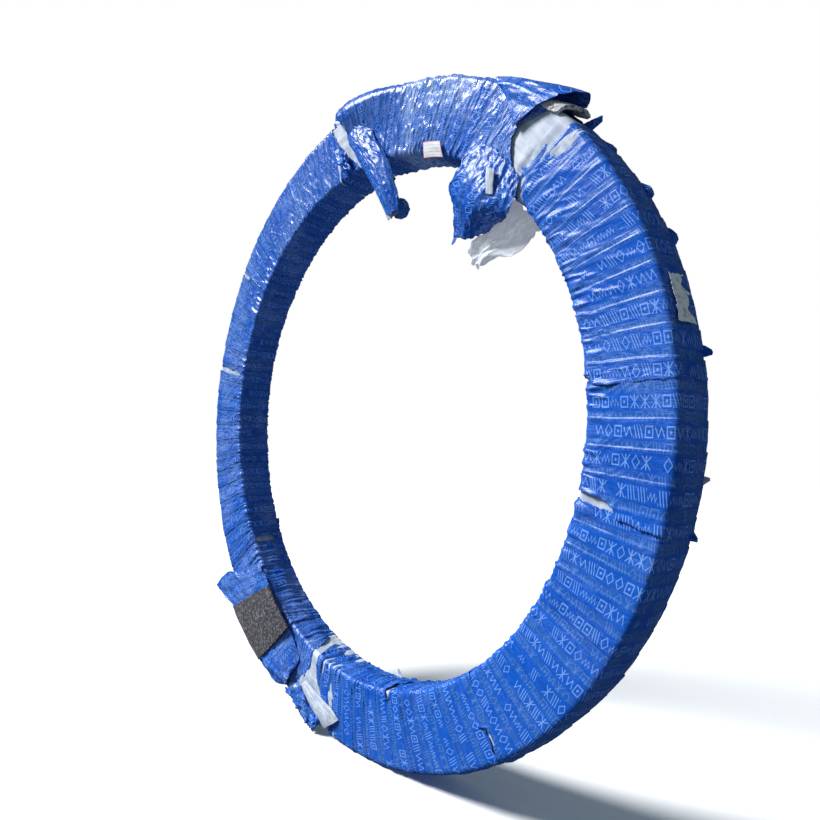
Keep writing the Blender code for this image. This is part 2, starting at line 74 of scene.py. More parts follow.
# Turns of film around the whole ring, and about how wide each one is at the rim
TURNS = 93
TURN_WIDTH = 45 * MM
TURN = next(joint for joint in frame["joints"] if joint["name"] == "inner_ring_turn")
CENTRE = Vector(TURN["pos_m"])


def ring_places(node):
    """A node's points as (angle from the top towards +X, radius, y), in degrees and metres."""
    points = np.array([vertex.co for vertex in frame["nodes"][node].data.vertices])
    across, up = points[:, 0] - CENTRE.x, points[:, 2] - CENTRE.z
    return np.degrees(np.arctan2(across, up)) % 360, np.hypot(across, up), points[:, 1] - CENTRE.y


SECTION_NAMES = sorted(name for name in frame["nodes"]
                       if name.startswith("wrap_section") or name.endswith("patch_wrap"))
SLEEVE_NAMES = sorted(name for name in frame["nodes"] if name.startswith("liner_sleeve"))
RIM_RADIUS = max(ring_places(name)[1].max() for name in SECTION_NAMES)
BORE_RADIUS = min(ring_places(name)[1].min() for name in SECTION_NAMES)
FRONT = min(ring_places(name)[2].min() for name in SECTION_NAMES)
BACK = max(ring_places(name)[2].max() for name in SECTION_NAMES)
FLOOR = CAD_BOX[0].z
MIDDLE_RADIUS = (RIM_RADIUS + BORE_RADIUS) / 2
FACE_WIDTH = RIM_RADIUS - BORE_RADIUS


def section_ends(node):
    """The first and last angle of a section, rounded to the degree between two sections."""
    angles = ring_places(node)[0]
    middle = math.degrees(math.atan2(np.sin(np.radians(angles)).mean(),
                                     np.cos(np.radians(angles)).mean())) % 360
    spread = (angles - middle + 180) % 360 - 180
    return round(middle + spread.min()), round(middle + spread.max())


# The way round the wrapped section is told in stations: 0 is the middle of the back face, 1 the
# rim's back corner, 2 its front corner, 3 the bore's front corner, 4 its back corner, and 5 is 0.
# Where two windings meet: station and angle of the edge, one list for each side of the opening.
# The one at 51 reaches back to 45, where the upper patch ends.
OPENINGS = {
    51: ([(0, 406), (1, 406), (2, 406.5), (2.1, 405.3), (2.26, 403.6), (2.41, 402.6), (2.5, 402.6),
          (2.68, 404.3), (2.82, 407), (3, 410.6), (3.3, 411), (4, 411), (5, 406)],
         [(0, 50), (1, 50), (2, 49.8), (2.17, 49.1), (2.35, 48.5), (2.53, 48.1), (2.68, 47.7),
          (2.81, 48.9), (2.91, 50.9), (3, 52.6), (3.3, 53), (4, 53), (5, 50)]),
    201: ([(0, 197.5), (1, 190), (2, 189), (2.3, 189.5), (2.43, 191.6), (2.56, 193.5),
           (2.7, 195.1), (2.89, 195.7), (3, 196), (3.2, 196.5), (3.63, 198), (4, 197.5),
           (5, 197.5)],
          [(0, 200), (1, 203), (2, 204), (2.13, 203.6), (2.39, 199.6), (2.65, 198.2),
           (2.85, 197.9), (3, 198), (3.2, 198.4), (3.65, 200.5), (4, 200.5), (5, 200)]),
    351: ([(0, 350), (1, 350), (2, 350.6), (2.25, 351.6), (2.57, 354.4), (2.77, 356.7),
           (3, 359.7), (3.3, 361), (4, 361), (5, 350)],
          [(0, 354), (1, 353.4), (2, 352.6), (2.1, 355.3), (2.44, 356.8), (2.8, 360.2), (3, 363),
           (3.3, 364), (4, 364), (5, 354)]),
}
# Tears across a winding, each as first and last station and half its width in degrees
TEARS = {
    87: [(2.88, 3.35, 0.55)],
    105: [(2.45, 3.4, 0.7)],
    147: [(1.98, 2.45, 0.28)],
    171: [(2.84, 3.5, 0.8)],
    237: [(2.95, 3.85, 0.75)],
    261: [],
    285: [(1.6, 3.02, 0.52)],
    309: [(1.7, 2.4, 0.35)],
}
# Where the liner shows between two windings, and may bulge
BARE_LINER = ((44, 55), (185, 206), (347, 368))
# The upper patch starts here and stands off the ring just past its start, by as much as this
BULGE_START = 351
BULGE = 25 * MM
# How far the outer end of a turn leads its inner end, in degrees, around the ring
LEAN_ANGLES = (0, 40, 55, 85, 93, 100, 150, 195, 215, 250, 300, 360)
LEANS = (0.3, 1.0, 1.5, 1.5, 0.0, -0.6, -1.4, -1.4, -0.5, 0.3, 0.5, 0.3)
# How crumpled the film is around the ring, from 0, tight, up; the same numbers set how strong the painted
# highlights on its creases are
CRUMPLE_ANGLES = (0, 9, 15, 20, 27, 44, 50, 90, 120, 190, 205, 236, 250, 300, 350, 360)
CRUMPLES_AND_HIGHLIGHTS = (0.8, 0.9, 2.4, 2.4, 1.2, 1.0, 0.35, 0.3, 0.15, 0.2, 0.75, 0.75, 0.7, 0.8, 0.75, 0.8)


# --- Shapes -----------------------------------------------------------------------------------

class Noise:
    """Smooth random heights from -1 to 1 over a plane, the same on every run."""

    def __init__(self, seed):
        self.table = np.random.default_rng(seed).uniform(-1.0, 1.0, (256, 256))

    def __call__(self, x, y):
        x, y = np.broadcast_arrays(np.asarray(x, float), np.asarray(y, float))
        column, row = np.floor(x).astype(int), np.floor(y).astype(int)
        across, down = x - column, y - row
        across, down = across ** 2 * (3 - 2 * across), down ** 2 * (3 - 2 * down)
        left, right = column % 256, (column + 1) % 256
        upper, lower = row % 256, (row + 1) % 256
        first = self.table[left, upper] * (1 - across) + self.table[right, upper] * across
        second = self.table[left, lower] * (1 - across) + self.table[right, lower] * across
        return first * (1 - down) + second * down

    def ridge(self, x, y):
        """Sharp-topped folds, from 0 to 1."""
        return np.clip(1 - 2.2 * np.abs(self(x, y)), 0, 1) ** 1.5


def ease(value, low, high):
    """0 below low, 1 above high and a smooth way between."""
    part = np.clip((value - low) / (high - low), 0, 1)
    return part ** 2 * (3 - 2 * part)


def between(value, low, high, border):
    """1 between low and high, falling smoothly to 0 within a border inside them."""
    return ease(value, low, low + border) * (1 - ease(value, high - border, high))


def wrap_outline():
    """The wrapped section's rounded outline: station, radius, y and outward normal of each point."""
    corners = (
        (1, RIM_RADIUS, BACK, 7 * MM, 90, 0), (2, RIM_RADIUS, FRONT, 10 * MM, 0, -90),
        (3, BORE_RADIUS, FRONT, 9 * MM, -90, -180), (4, BORE_RADIUS, BACK, 8 * MM, -180, -270))
    sides = (10, 20, 36, 22, 9)
    places = [(0.0, MIDDLE_RADIUS, BACK, 0.0, 1.0)]
    for (station, radius, y, bend, turn, last_turn), steps in zip(corners, sides):
        centre = (radius - math.copysign(bend, radius - MIDDLE_RADIUS), y - math.copysign(bend, y))
        arc = []
        for step in range(5):
            angle = math.radians(turn + (last_turn - turn) * step / 4)
            normal = (math.cos(angle), math.sin(angle))
            arc.append((station - 0.04 + 0.02 * step, centre[0] + bend * normal[0],
                        centre[1] + bend * normal[1], *normal))
        places += side_points(places[-1], arc[0], steps) + arc
    places += side_points(places[-1], (5.0, *places[0][1:]), sides[-1])
    return np.array(places).T


def side_points(first, last, steps):
    """Points along a straight side, between but not on its two ends."""
    return [tuple(a + (b - a) * step / steps for a, b in zip(first, last))
            for step in range(1, steps)]


STATION, OUTLINE_RADIUS, OUTLINE_Y, NORMAL_RADIUS, NORMAL_Y = wrap_outline()
# The front face draws in a little towards the bore
OUTLINE_Y = OUTLINE_Y + np.where((STATION > 2.2) & (STATION < 3.04),
                                 2.5 * MM * ease(RIM_RADIUS - OUTLINE_RADIUS, 0.05, 0.14), 0.0)
WAY_ROUND = np.concatenate([[0.0], np.cumsum(np.hypot(np.diff(OUTLINE_RADIUS),
                                                      np.diff(OUTLINE_Y)))])
GIRTH = WAY_ROUND[-1] + math.hypot(OUTLINE_RADIUS[0] - OUTLINE_RADIUS[-1],
                                   OUTLINE_Y[0] - OUTLINE_Y[-1])


def on_ring(angle, radius, y):
    """Points from angles in degrees, radii and y."""
    turn = np.radians(angle)
    return np.stack(np.broadcast_arrays(CENTRE.x + radius * np.sin(turn), CENTRE.y + y,
                                        CENTRE.z + radius * np.cos(turn)), axis=-1)


def grid_piece(name, points, uv, closed=False, keep=None, crumple=None):
    """A sheet from a grid of points, with a UV map named film. Closed joins its last column on."""
    rows, columns = points.shape[:2]
    last = columns if closed else columns - 1
    row, column = np.meshgrid(np.arange(rows - 1), np.arange(last), indexing="ij")
    row, column = row.ravel(), column.ravel()
    if keep is not None:
        kept = keep[row, column]
        row, column = row[kept], column[kept]
    following = (column + 1) % columns
    corners = np.stack([row * columns + column, row * columns + following,
                        (row + 1) * columns + following, (row + 1) * columns + column], axis=1)
    corner_uv = np.stack([uv[row, column], uv[row, column + 1], uv[row + 1, column + 1],
                          uv[row + 1, column]], axis=1)
    mesh = bpy.data.meshes.new(name)
    mesh.vertices.add(rows * columns)
    mesh.vertices.foreach_set("co", points.reshape(-1).astype(np.float32))
    mesh.loops.add(corners.size)
    mesh.loops.foreach_set("vertex_index", corners.reshape(-1).astype(np.int32))
    mesh.polygons.add(len(corners))
    mesh.polygons.foreach_set("loop_start", np.arange(0, corners.size, 4, dtype=np.int32))
    mesh.update(calc_edges=True)
    mesh.uv_layers.new(name="film").data.foreach_set("uv", corner_uv.reshape(-1))
    if crumple is not None:
        mesh.attributes.new("crumple", "FLOAT", "POINT").data.foreach_set(
            "value", crumple.reshape(-1).astype(np.float32))
    mesh.polygons.foreach_set("use_smooth", np.ones(len(corners), bool))
    if keep is not None:
        drop_loose_points(mesh)
    piece = bpy.data.objects.new(name, mesh)
    bpy.context.scene.collection.objects.link(piece)
    return piece


def drop_loose_points(mesh):
    """Take away the points that no face uses."""
    bm = bmesh.new()
    bm.from_mesh(mesh)
    bmesh.ops.delete(bm, geom=[v for v in bm.verts if not v.link_faces], context="VERTS")
    bm.to_mesh(mesh)
    bm.free()


def thicken(piece, thickness, inward=True):
    """Give a sheet its thickness."""
    wall = piece.modifiers.new("thickness", "SOLIDIFY")
    wall.thickness = thickness
    wall.offset = -1.0 if inward else 1.0


def finish_piece(piece, material, nodes=(), body="root"):
    """Paint a piece, let it ride on its body and stand for its nodes."""
    piece.data.materials.append(material)
    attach(piece, body)
    if nodes:
        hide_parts(*nodes)
    return piece


# --- Wound film and liner ---------------------------------------------------------------------

def lean_at(angle):
    """How much each outline point leads or trails at an angle, in degrees."""
    lean = np.interp(np.asarray(angle) % 360, LEAN_ANGLES, LEANS)
    return lean * (OUTLINE_RADIUS - MIDDLE_RADIUS) / FACE_WIDTH


def opening_width(boundary):
    """Half the tear's width in degrees at each outline point."""
    width = np.zeros_like(STATION)
    for first, last, half in TEARS[boundary]:
        width += half * between(STATION, first, last, (last - first) * 0.3)
    return width


def section_edges(node, ragged):
    """The angle of a section's first and last edge at each outline point."""
    start, end = section_ends(node)
    edges = []
    for side, angle in ((1, start), (0, end)):
        boundary = angle % 360
        wobble = 0.22 * ragged(STATION * 9, boundary) + 0.1 * ragged(STATION * 31, boundary + 7)
        if boundary in OPENINGS or boundary == 45:
            shape = np.array(OPENINGS[51 if boundary == 45 else boundary][side], float).T
            edge = np.interp(STATION, shape[0], shape[1])
            edge += 360 * round((angle - edge.mean()) / 360)
        else:
            torn = opening_width(boundary)
            under = 1.0 if side else -1.3
            edge = angle - under * (1 - ease(torn, 0, 0.2)) + torn * (1 if side else -1)
        edges.append(edge + wobble)
    return edges


def turn_rows(first, last, pitch, places):
    """Band coordinates of the rows of a winding, from one edge to the other, at each point."""
    inner_first = math.ceil(first.max() + 0.12)
    inner_last = math.floor(last.min() - 0.12)
    per_band = len(places)
    rows = []
    count = max(2, math.ceil((inner_first - first.min()) * per_band * 0.8))
    for step in range(count):
        rows.append(first + (inner_first - first) * step / count)
    for band in range(inner_first, inner_last):
        rows += [np.full_like(first, band + place) for place in places]
    count = max(2, math.ceil((last.max() - inner_last) * per_band * 0.8))
    for step in range(count + 1):
        rows.append(inner_last + (last - inner_last) * step / count)
    return np.array(rows)


def film_relief(turns, crumple, settings, seed):
    """Height of the film over the wrap's plain outline, from laps, folds and gathers."""
    steps, folds, gathers = Noise(seed), Noise(seed + 1), Noise(seed + 2)
    fine, patches = Noise(seed + 3), Noise(seed + 4)
    way, station = WAY_ROUND[None, :], STATION[None, :]
    band = np.floor(turns)
    place = turns - band
    face = between(station, 1.9, 3.1, 0.1)
    lap = settings.lap_step * (1 - place) ** 0.85 * (0.85 + 0.4 * steps(band * 3.7, way * 7))
    lift = 0.5 * MM * steps(band * 5.3 + 2, way * 3 + 11)
    where = ease(patches(turns * 0.35, way * 9), -0.35, 0.4)
    lean = folds.ridge(turns * 2.6 + way * 13, way * 7)
    other = folds.ridge(turns * 2.2 - way * 7 + 40, way * 8 + 20)
    long_folds = settings.fold_depth * (where * lean + (1 - where) * other) * (0.55 + 0.45 * face)
    near_bore = between(station, 2.55, 4.3, 0.45)
    gather = gathers.ridge(turns * 3.4 + way * 9, way * 13) - 0.3
    gather += 0.6 * gathers(turns * 6.5, way * 18 + 5)
    pleats = settings.gather_depth * near_bore * gather
    # Fine wrinkles that fan out over the face from its gathered inner edge
    reach = between(station, 2.2, 3.05, 0.3) * (0.4 + 0.6 * ease(station, 2.2, 2.9))
    slopes_up = patches(turns.mean(axis=1, keepdims=True) * 0.17, 21.0) > -0.1
    slope = np.where(slopes_up, 1.0, -1.0)
    run = turns * TURN_WIDTH
    wrinkles = fine.ridge((run * 0.82 + slope * way * 0.57) / (9 * MM),
                          (way * 0.82 - slope * run * 0.57) / (70 * MM))
    pleats = pleats + settings.fan_depth * reach * wrinkles
    crush = crumple * (0.8 * MM * fine.ridge(turns * 4.2 + way * 12, way * 26)
                       + 0.55 * MM * fine.ridge(turns * 8.5 - way * 30, way * 55 + 9))
    grain = 0.22 * MM * fine(turns * 11 + 3, way * 60)
    slack = 1.1 * MM * patches(turns * 0.21 + 7, way * 5)
    height = lap + lift + long_folds + pleats + crush + grain + slack - 2.0 * MM
    floor = -settings.liner_depth
    return floor + 0.6 * MM * np.logaddexp(0, (height - floor) / (0.6 * MM))


def wind_section(node, settings, material, seed):
    """One length of wound film between two tears."""
    pitch = 360 / settings.band_count
    ragged = Noise(99)
    start, end = section_edges(node, ragged)
    first, last = (start - lean_at(start)) / pitch, (end - lean_at(end)) / pitch
    places = np.concatenate([[0.0, 0.014, 0.045], np.linspace(0.09, 0.93, 17), [0.975]])
    turns = turn_rows(first, last, pitch, places)
    angle = turns * pitch + lean_at(turns.mean(axis=1, keepdims=True) * pitch)
    crumple = np.interp(angle % 360, CRUMPLE_ANGLES, CRUMPLES_AND_HIGHLIGHTS)
    height = film_relief(turns, crumple, settings, seed)

    from_start, to_end = (turns - first) * pitch, (last - turns) * pitch
    height -= 1.3 * MM * (1 - ease(from_start, 0.2, 1.6))
    height += 1.1 * MM * (1 - ease(to_end, 0.2, 1.6))
    curl = Noise(seed + 8)(STATION * 7, 3)[None, :]
    height += 1.3 * MM * (0.35 + 0.65 * curl) * (1 - ease(to_end, 0.0, 0.75))
    height += 1.0 * MM * (0.2 + 0.8 * curl) * (1 - ease(from_start, 0.0, 0.6))

    if section_ends(node)[0] % 360 == BULGE_START:
        past = (angle - BULGE_START + 1) % 360
        swell = ease(past, 0.5, 5.0) * (1 - ease(past, 7.0, 25.0))
        height += BULGE * swell * between(STATION, 0.9, 2.6, 0.6)[None, :]
    sides = between(STATION, 1.15, 1.85, 0.35) + between(STATION, 3.15, 3.85, 0.35)
    height += settings.puff * sides[None, :] * (0.75 + 0.5 * Noise(seed + 11)(angle * 0.09, 2.0))
    wobble = Noise(seed + 9)
    near_bore = between(STATION, 2.7, 4.3, 0.35)[None, :]
    angle = angle + 0.08 * wobble(turns * 0.7, WAY_ROUND[None, :] * 9)
    angle = angle + 0.3 * near_bore * wobble(turns * 1.9, WAY_ROUND[None, :] * 12 + 30)
    points = on_ring(angle, OUTLINE_RADIUS + height * NORMAL_RADIUS, OUTLINE_Y + height * NORMAL_Y)
    points[..., 2] = np.maximum(points[..., 2], FLOOR + 0.3 * MM)

    way = np.concatenate([WAY_ROUND, [GIRTH]])
    uv = np.stack(np.broadcast_arrays(way[None, :], np.concatenate(
        [turns, turns[:, :1]], axis=1)), axis=-1)
    piece = grid_piece(node + "_film", points, uv, closed=True, crumple=crumple)
    thicken(piece, settings.thickness)
    finish_piece(piece, material, [node])
    length = math.radians(float((end - start).mean())) * MIDDLE_RADIUS
    length * 1.03
    return piece


def wind_sleeve(node, settings, material, seed):
    """One length of the cloth liner, creased, under the film."""
    start, end = section_ends(node)
    overlap = 11.0 if end % 360 == 45 else 0.8
    angle = np.linspace(start, end + overlap, 200)[:, None] + 0 * STATION[None, :]
    creases, drift = Noise(seed), Noise(seed + 1)
    way = WAY_ROUND[None, :]
    lean = lean_at(angle[:, :1])
    height = 1.5 * MM * creases.ridge(angle * 0.55 + way * 5, way * 7)
    height += 0.9 * MM * creases(angle * 1.3 + 20 - way * 8, way * 16)
    height += 0.8 * MM * drift(angle * 0.3, way * 10)
    shown = sum(between(angle % 360, first, last, 4) for first, last in BARE_LINER)
    height = height * (0.4 + 0.8 * shown) + 2.6 * MM * shown - settings.liner_inset
    height += 0.9 * MM * ease(angle, end - 2.0, end)
    points = on_ring(angle + lean, OUTLINE_RADIUS + height * NORMAL_RADIUS,
                     OUTLINE_Y + height * NORMAL_Y)
    points[..., 2] = np.maximum(points[..., 2], FLOOR + 1.2 * MM)
    way = np.concatenate([WAY_ROUND, [GIRTH]])
    arc = np.radians(angle[:, :1]) * MIDDLE_RADIUS
    uv = np.stack(np.broadcast_arrays(way[None, :], arc), axis=-1)
    piece = grid_piece(node + "_cloth", points, uv, closed=True)
    thicken(piece, settings.liner_thickness)
    finish_piece(piece, material, [node])
    length = math.radians(end - start) * MIDDLE_RADIUS
    return piece


# --- Loose sheets -----------------------------------------------------------------------------

def spline_weights(place, count):
    """The four control points either side of each place along a smooth line, and their weights."""
    first = np.clip(np.floor(place), 0, count - 2).astype(int)
    part = place - first
    weights = np.stack([(2 * part ** 2 - part ** 3 - part) / 2,
                        (2 - 5 * part ** 2 + 3 * part ** 3) / 2,
                        (part + 4 * part ** 2 - 3 * part ** 3) / 2,
                        (part ** 3 - part ** 2) / 2])
    return np.clip(first[None] + np.array([-1, 0, 1, 2]).reshape(-1, *[1] * first.ndim),
                   0, count - 1), weights


def smooth_surface(net, down, across):
    """Points of the smooth surface through a net of control points."""
    rows, row_weights = spline_weights(down * (net.shape[0] - 1), net.shape[0])
    columns, column_weights = spline_weights(across * (net.shape[1] - 1), net.shape[1])
    total = 0.0
    for i in range(4):
        for j in range(4):
            weight = (row_weights[i] * column_weights[j])[..., None]
            total = total + weight * net[rows[i], columns[j]]
    return total


def from_centre(net):
    """A net given in millimetres from the ring's centre, as (x, y, z)."""
    return np.array(net, float) * MM + np.array(CENTRE)


def from_axis(net):
    """A net given as (angle, millimetres from the axis, y in millimetres)."""
    net = np.array(net, float)
    return on_ring(net[..., 0], net[..., 1] * MM, net[..., 2] * MM)


def surface_normals(points):
    """Unit normals of a grid of points."""
    normals = np.cross(np.gradient(points, axis=0), np.gradient(points, axis=1))
    return normals / np.maximum(np.linalg.norm(normals, axis=-1, keepdims=True), 1e-12)


def loose_sheet(name, net, material, slot, thickness, nodes=(), cell=2.6 * MM, crease=1.5 * MM,
                crease_size=18 * MM, stretch=2.5, ragged=0.03, seed=1, held="draped",
                rests_on=(), crumple=0.8, outward=True, turned=False):
    """A sheet hung over a net of control points, creased and torn at its edges.

    Creases run down the net's rows and are stretch times as long as they are wide. Turned lays
    the print across the sheet.
    """
    along = np.linalg.norm(np.diff(net, axis=0), axis=-1).sum(axis=0).mean()
    across = np.linalg.norm(np.diff(net, axis=1), axis=-1).sum(axis=1).mean()
    rows, columns = max(8, round(along / cell)), max(8, round(across / cell))
    tear = Noise(seed + 50)
    t, s = np.linspace(0, 1, rows)[:, None], np.linspace(0, 1, columns)[None, :]
    size = 9 * MM
    top = ragged * (1 + tear(s * across / size, 1))
    bottom = ragged * (1 + tear(s * across / size, 9))
    left = ragged * (1 + tear(t * along / size, 17))
    right = ragged * (1 + tear(t * along / size, 25))
    down, sideways = top + (1 - top - bottom) * t, left + (1 - left - right) * s
    points = smooth_surface(net, down, sideways)
    creases = Noise(seed)
    x, y = sideways * across / crease_size, down * along / crease_size / stretch
    x, y = x + 0 * y, y + 0 * x
    relief = creases.ridge(x + 0.5 * y, y) - 0.35 + 0.6 * creases(2.3 * x - y, 2.1 * y + 13)
    relief = relief + 0.35 * creases.ridge(3.7 * x + 5, 4.5 * y + 31)
    points = points + surface_normals(points) * (crease * relief)[..., None]
    points[..., 2] = np.maximum(points[..., 2], FLOOR + 1.5 * MM)
    # The print lies along the sheet, and the crumple value on every point sets how strong the painted
    # highlights on its creases are
    width, length = s * across + 0 * t, t * along + 0 * s
    rim_turn = 2 * math.pi * RIM_RADIUS / TURNS
    uv = np.stack((width, length / rim_turn) if turned else (length, width / rim_turn),
                  axis=-1) + seed
    piece = grid_piece(name, points, uv, crumple=np.full(points.shape[:2], crumple))
    thicken(piece, thickness, inward=not outward)
    finish_piece(piece, material, nodes)
    return piece


# --- Materials --------------------------------------------------------------------------------

class Number:
    """A number inside a material. Python's operators on it add Math nodes."""

    def __init__(self, paint, socket):
        self.paint = paint
        self.socket = socket

    def maths(self, operation, *others):
        return self.paint.maths(operation, self, *others)

    def __add__(self, other):
        return self.maths("ADD", other)

    __radd__ = __add__

    def __sub__(self, other):
        return self.maths("SUBTRACT", other)

    def __rsub__(self, other):
        return self.paint.maths("SUBTRACT", other, self)

    def __mul__(self, other):
        return self.maths("MULTIPLY", other)

    __rmul__ = __mul__

    def __truediv__(self, other):
        return self.maths("DIVIDE", other)

    def __gt__(self, other):
        return self.maths("GREATER_THAN", other)

    def __abs__(self):
        return self.maths("ABSOLUTE")

    def floor(self):
        return self.maths("FLOOR")


class Paint:
    """A material's or the studio's nodes, and the one way they are added."""

    def __init__(self, owner, **constants):
        self.owner = bpy.data.materials.new(owner) if isinstance(owner, str) else owner
        self.owner.use_nodes = True
        self.tree = self.owner.node_tree
        self.shader = self.tree.get_output_node("ALL").inputs["Surface"].links[0].from_node
        for key, value in constants.items():
            self.shader.inputs[key.replace("_", " ").title().replace("Ior", "IOR")].default_value = value

    def node(self, kind, settings=None, values=None, output=0):
        """Add a node: its settings first, then its sockets' values or links."""
        made = self.tree.nodes.new(kind)
        for key, value in (settings or {}).items():
            setattr(made, key, value)
        for key, value in (values or {}).items():
            self.put(made.inputs[key], value)
        return Number(self, made.outputs[output])

    def put(self, socket, value):
        """Link a number to a socket, or set the socket's value."""
        if isinstance(value, Number):
            self.tree.links.new(value.socket, socket)
        else:
            socket.default_value = value

    def maths(self, operation, *values):
        return self.node("ShaderNodeMath", {"operation": operation}, dict(enumerate(values)))

    def smooth(self, value, low, high):
        """0 below low, 1 above high and a smooth way between."""
        return self.node("ShaderNodeMapRange", {"interpolation_type": "SMOOTHSTEP"},
                         {"Value": value, "From Min": low, "From Max": high})

    def falling(self, value, low, high):
        return 1 - self.smooth(value, low, high)

    def mix(self, part, first, second):
        """A colour between two colours."""
        return self.node("ShaderNodeMix", {"data_type": "RGBA"}, {0: part, 6: first, 7: second}, 2)

    def vector(self, x, y, z=0.0):
        return self.node("ShaderNodeCombineXYZ", None, {0: x, 1: y, 2: z})

    def noise(self, place, scale, detail=3.0, roughness=0.5, distortion=0.0):
        return self.node("ShaderNodeTexNoise", None, {
            "Vector": place, "Scale": scale, "Detail": detail, "Roughness": roughness,
            "Distortion": distortion})

    def random(self, place):
        return self.node("ShaderNodeTexWhiteNoise", {"noise_dimensions": "2D"}, {"Vector": place})

    def bump(self, height, strength, distance):
        return self.node("ShaderNodeBump", None, {
            "Height": height, "Strength": strength, "Distance": distance})

    def object_place(self):
        return self.node("ShaderNodeTexCoord", None, None, 3)

    def sheet_place(self):
        """The sheet's own UV map, as two numbers."""
        uv = self.node("ShaderNodeUVMap", {"uv_map": "film"})
        return (self.node("ShaderNodeSeparateXYZ", None, {0: uv}, 0),
                self.node("ShaderNodeSeparateXYZ", None, {0: uv}, 1))

    def surface(self, **links):
        """Link what changes over the surface to the shader."""
        for key, value in links.items():
            self.put(self.shader.inputs[key.replace("_", " ").title()], value)
        return self.owner


def print_marks(paint, along, across, size, row, seed):
    """A row of generic printed strokes: diamonds, slashes, ripples, zigzags and boxes, with gaps.

    size is a mark's width along the film and row is (middle, height) within a turn, from 0 to 1.
    """
    turn = across.floor()
    shift = paint.random(paint.vector(turn, seed))
    run = along / size + shift * 37.0
    cell = run.floor()
    x = run - cell - 0.5
    y = (across - turn - row[0]) / row[1]
    pick = (paint.random(paint.vector(cell, turn + seed)) * 6.5).floor()
    side, rise = abs(x), abs(y)
    diamond = abs(side * 0.95 + rise * 0.8 - 0.34)
    slant = (x + y * 0.35) * 3.6
    slashes = abs(slant - (slant + 0.5).floor()) / 3.4
    swing = (x + 0.5) * 3.0
    zigzag = abs(y + 0.2 - abs(swing - (swing + 0.5).floor()) * 0.9) * 0.6
    ripple = abs(y - (x * 11.0).maths("SINE") * 0.24) * 0.5
    box = abs(side.maths("MAXIMUM", rise) - 0.34).maths(
        "MINIMUM", (x * x + y * y).maths("SQRT") - 0.06)
    spokes = abs(side - rise).maths("MINIMUM", side) * 0.8
    distance = 1.0 * (pick > 5.5)
    for number, shape in enumerate((diamond, slashes, zigzag, ripple, box, spokes)):
        distance = distance + shape * pick.maths("COMPARE", float(number), 0.5)
    stroke = paint.falling(distance, 0.030, 0.062)
    return stroke * paint.falling(rise, 0.42, 0.47) * paint.falling(side, 0.42, 0.45)


def film_material(settings):
    """Wound blue polythene film: wide bright turns, dull overlaps, printed strokes, creases, and painted
    sheen and highlights.
    """
    paint = Paint("blue_film_print", specular_ior_level=0.17)
    along, across = paint.sheet_place()
    place = across - across.floor()
    here = paint.object_place()
    # How crumpled the film is, which also sets how strong the painted highlights are
    crumple = paint.node("ShaderNodeAttribute", {"attribute_name": "crumple"}, None, 2)
    turn_tone = paint.random(paint.vector(across.floor(), 3.0))

    soft = paint.noise(paint.vector(along * 9.0, across * 0.8), 1.0, 3.0)
    drift = paint.noise(here, 7.0, 2.0)
    edge = place + (soft - 0.5) * 0.10
    dull = paint.smooth(edge, 0.70, 0.80) + paint.falling(edge, 0.02, 0.12)
    colour = paint.mix(dull * 0.8, (*settings.blue, 1.0), (*settings.dull_blue, 1.0))
    tone = (turn_tone - 0.5) * 0.5 + (drift - 0.5) * 0.9
    colour = paint.mix(paint.smooth(tone, -0.1, 0.55) * 0.45, colour, (*settings.deep_blue, 1.0))
    # Hazy stretches of lighter blue: painted sheen
    painted_sheen = paint.smooth(soft, 0.50, 0.78) * 0.16
    colour = paint.mix(painted_sheen, colour, (*settings.sheen_blue, 1.0))

    marks = print_marks(paint, along, across, 15 * MM, (0.43, 0.52), 5.0)
    ghost = print_marks(paint, along, across + 0.47, 15 * MM, (0.43, 0.52), 11.0)
    worn = 0.78 + (soft - 0.5) * 0.6
    colour = paint.mix(marks * worn, colour, (*settings.mark_blue, 1.0))
    colour = paint.mix(ghost * dull * 0.30, colour, (*settings.mark_blue, 1.0))

    # Fine creases along the turns, with painted highlights along them that grow where the film is
    # crumpled
    warp = (paint.noise(here, 14.0, 2.0) - 0.5) * 1.2
    lines = paint.noise(paint.vector(along * 26.0 + warp, across * 9.0 + warp * 2.0), 1.0, 4.0, 0.62)
    crease = paint.falling(abs(lines - 0.5), 0.0, 0.045)
    shards = paint.noise(paint.vector(along * 60.0 - warp * 3.0, across * 13.0 + warp), 1.0, 3.0, 0.6)
    shard = paint.falling(abs(shards - 0.5), 0.0, 0.05)
    patches = paint.smooth(paint.noise(here, 11.0, 3.0), 0.42, 0.66)
    crease_highlight = (crease * 0.55 + shard * 0.45) * (0.05 + crumple * (0.10 + 0.65 * patches))
    colour = paint.mix(crease_highlight, colour, (*settings.crease_highlight_colour, 1.0))
    # Frost of painted highlight over the most crumpled film
    painted_highlight = paint.smooth(crumple, 1.1, 2.4) * paint.smooth(shards, 0.42, 0.62)
    colour = paint.mix(painted_highlight * (0.25 + patches * 0.6), colour, (*settings.crease_highlight_colour, 1.0))

    relief = lines * 0.6 + shards * 0.35 + paint.noise(here, 160.0, 2.0) * 0.12
    normal = paint.bump(relief, 0.55, 1.6 * MM)
    roughness = 0.26 + (soft - 0.5) * 0.2 + marks * 0.08 + dull * 0.06 - crumple * 0.05
    return paint.surface(base_color=colour, roughness=roughness, normal=normal)


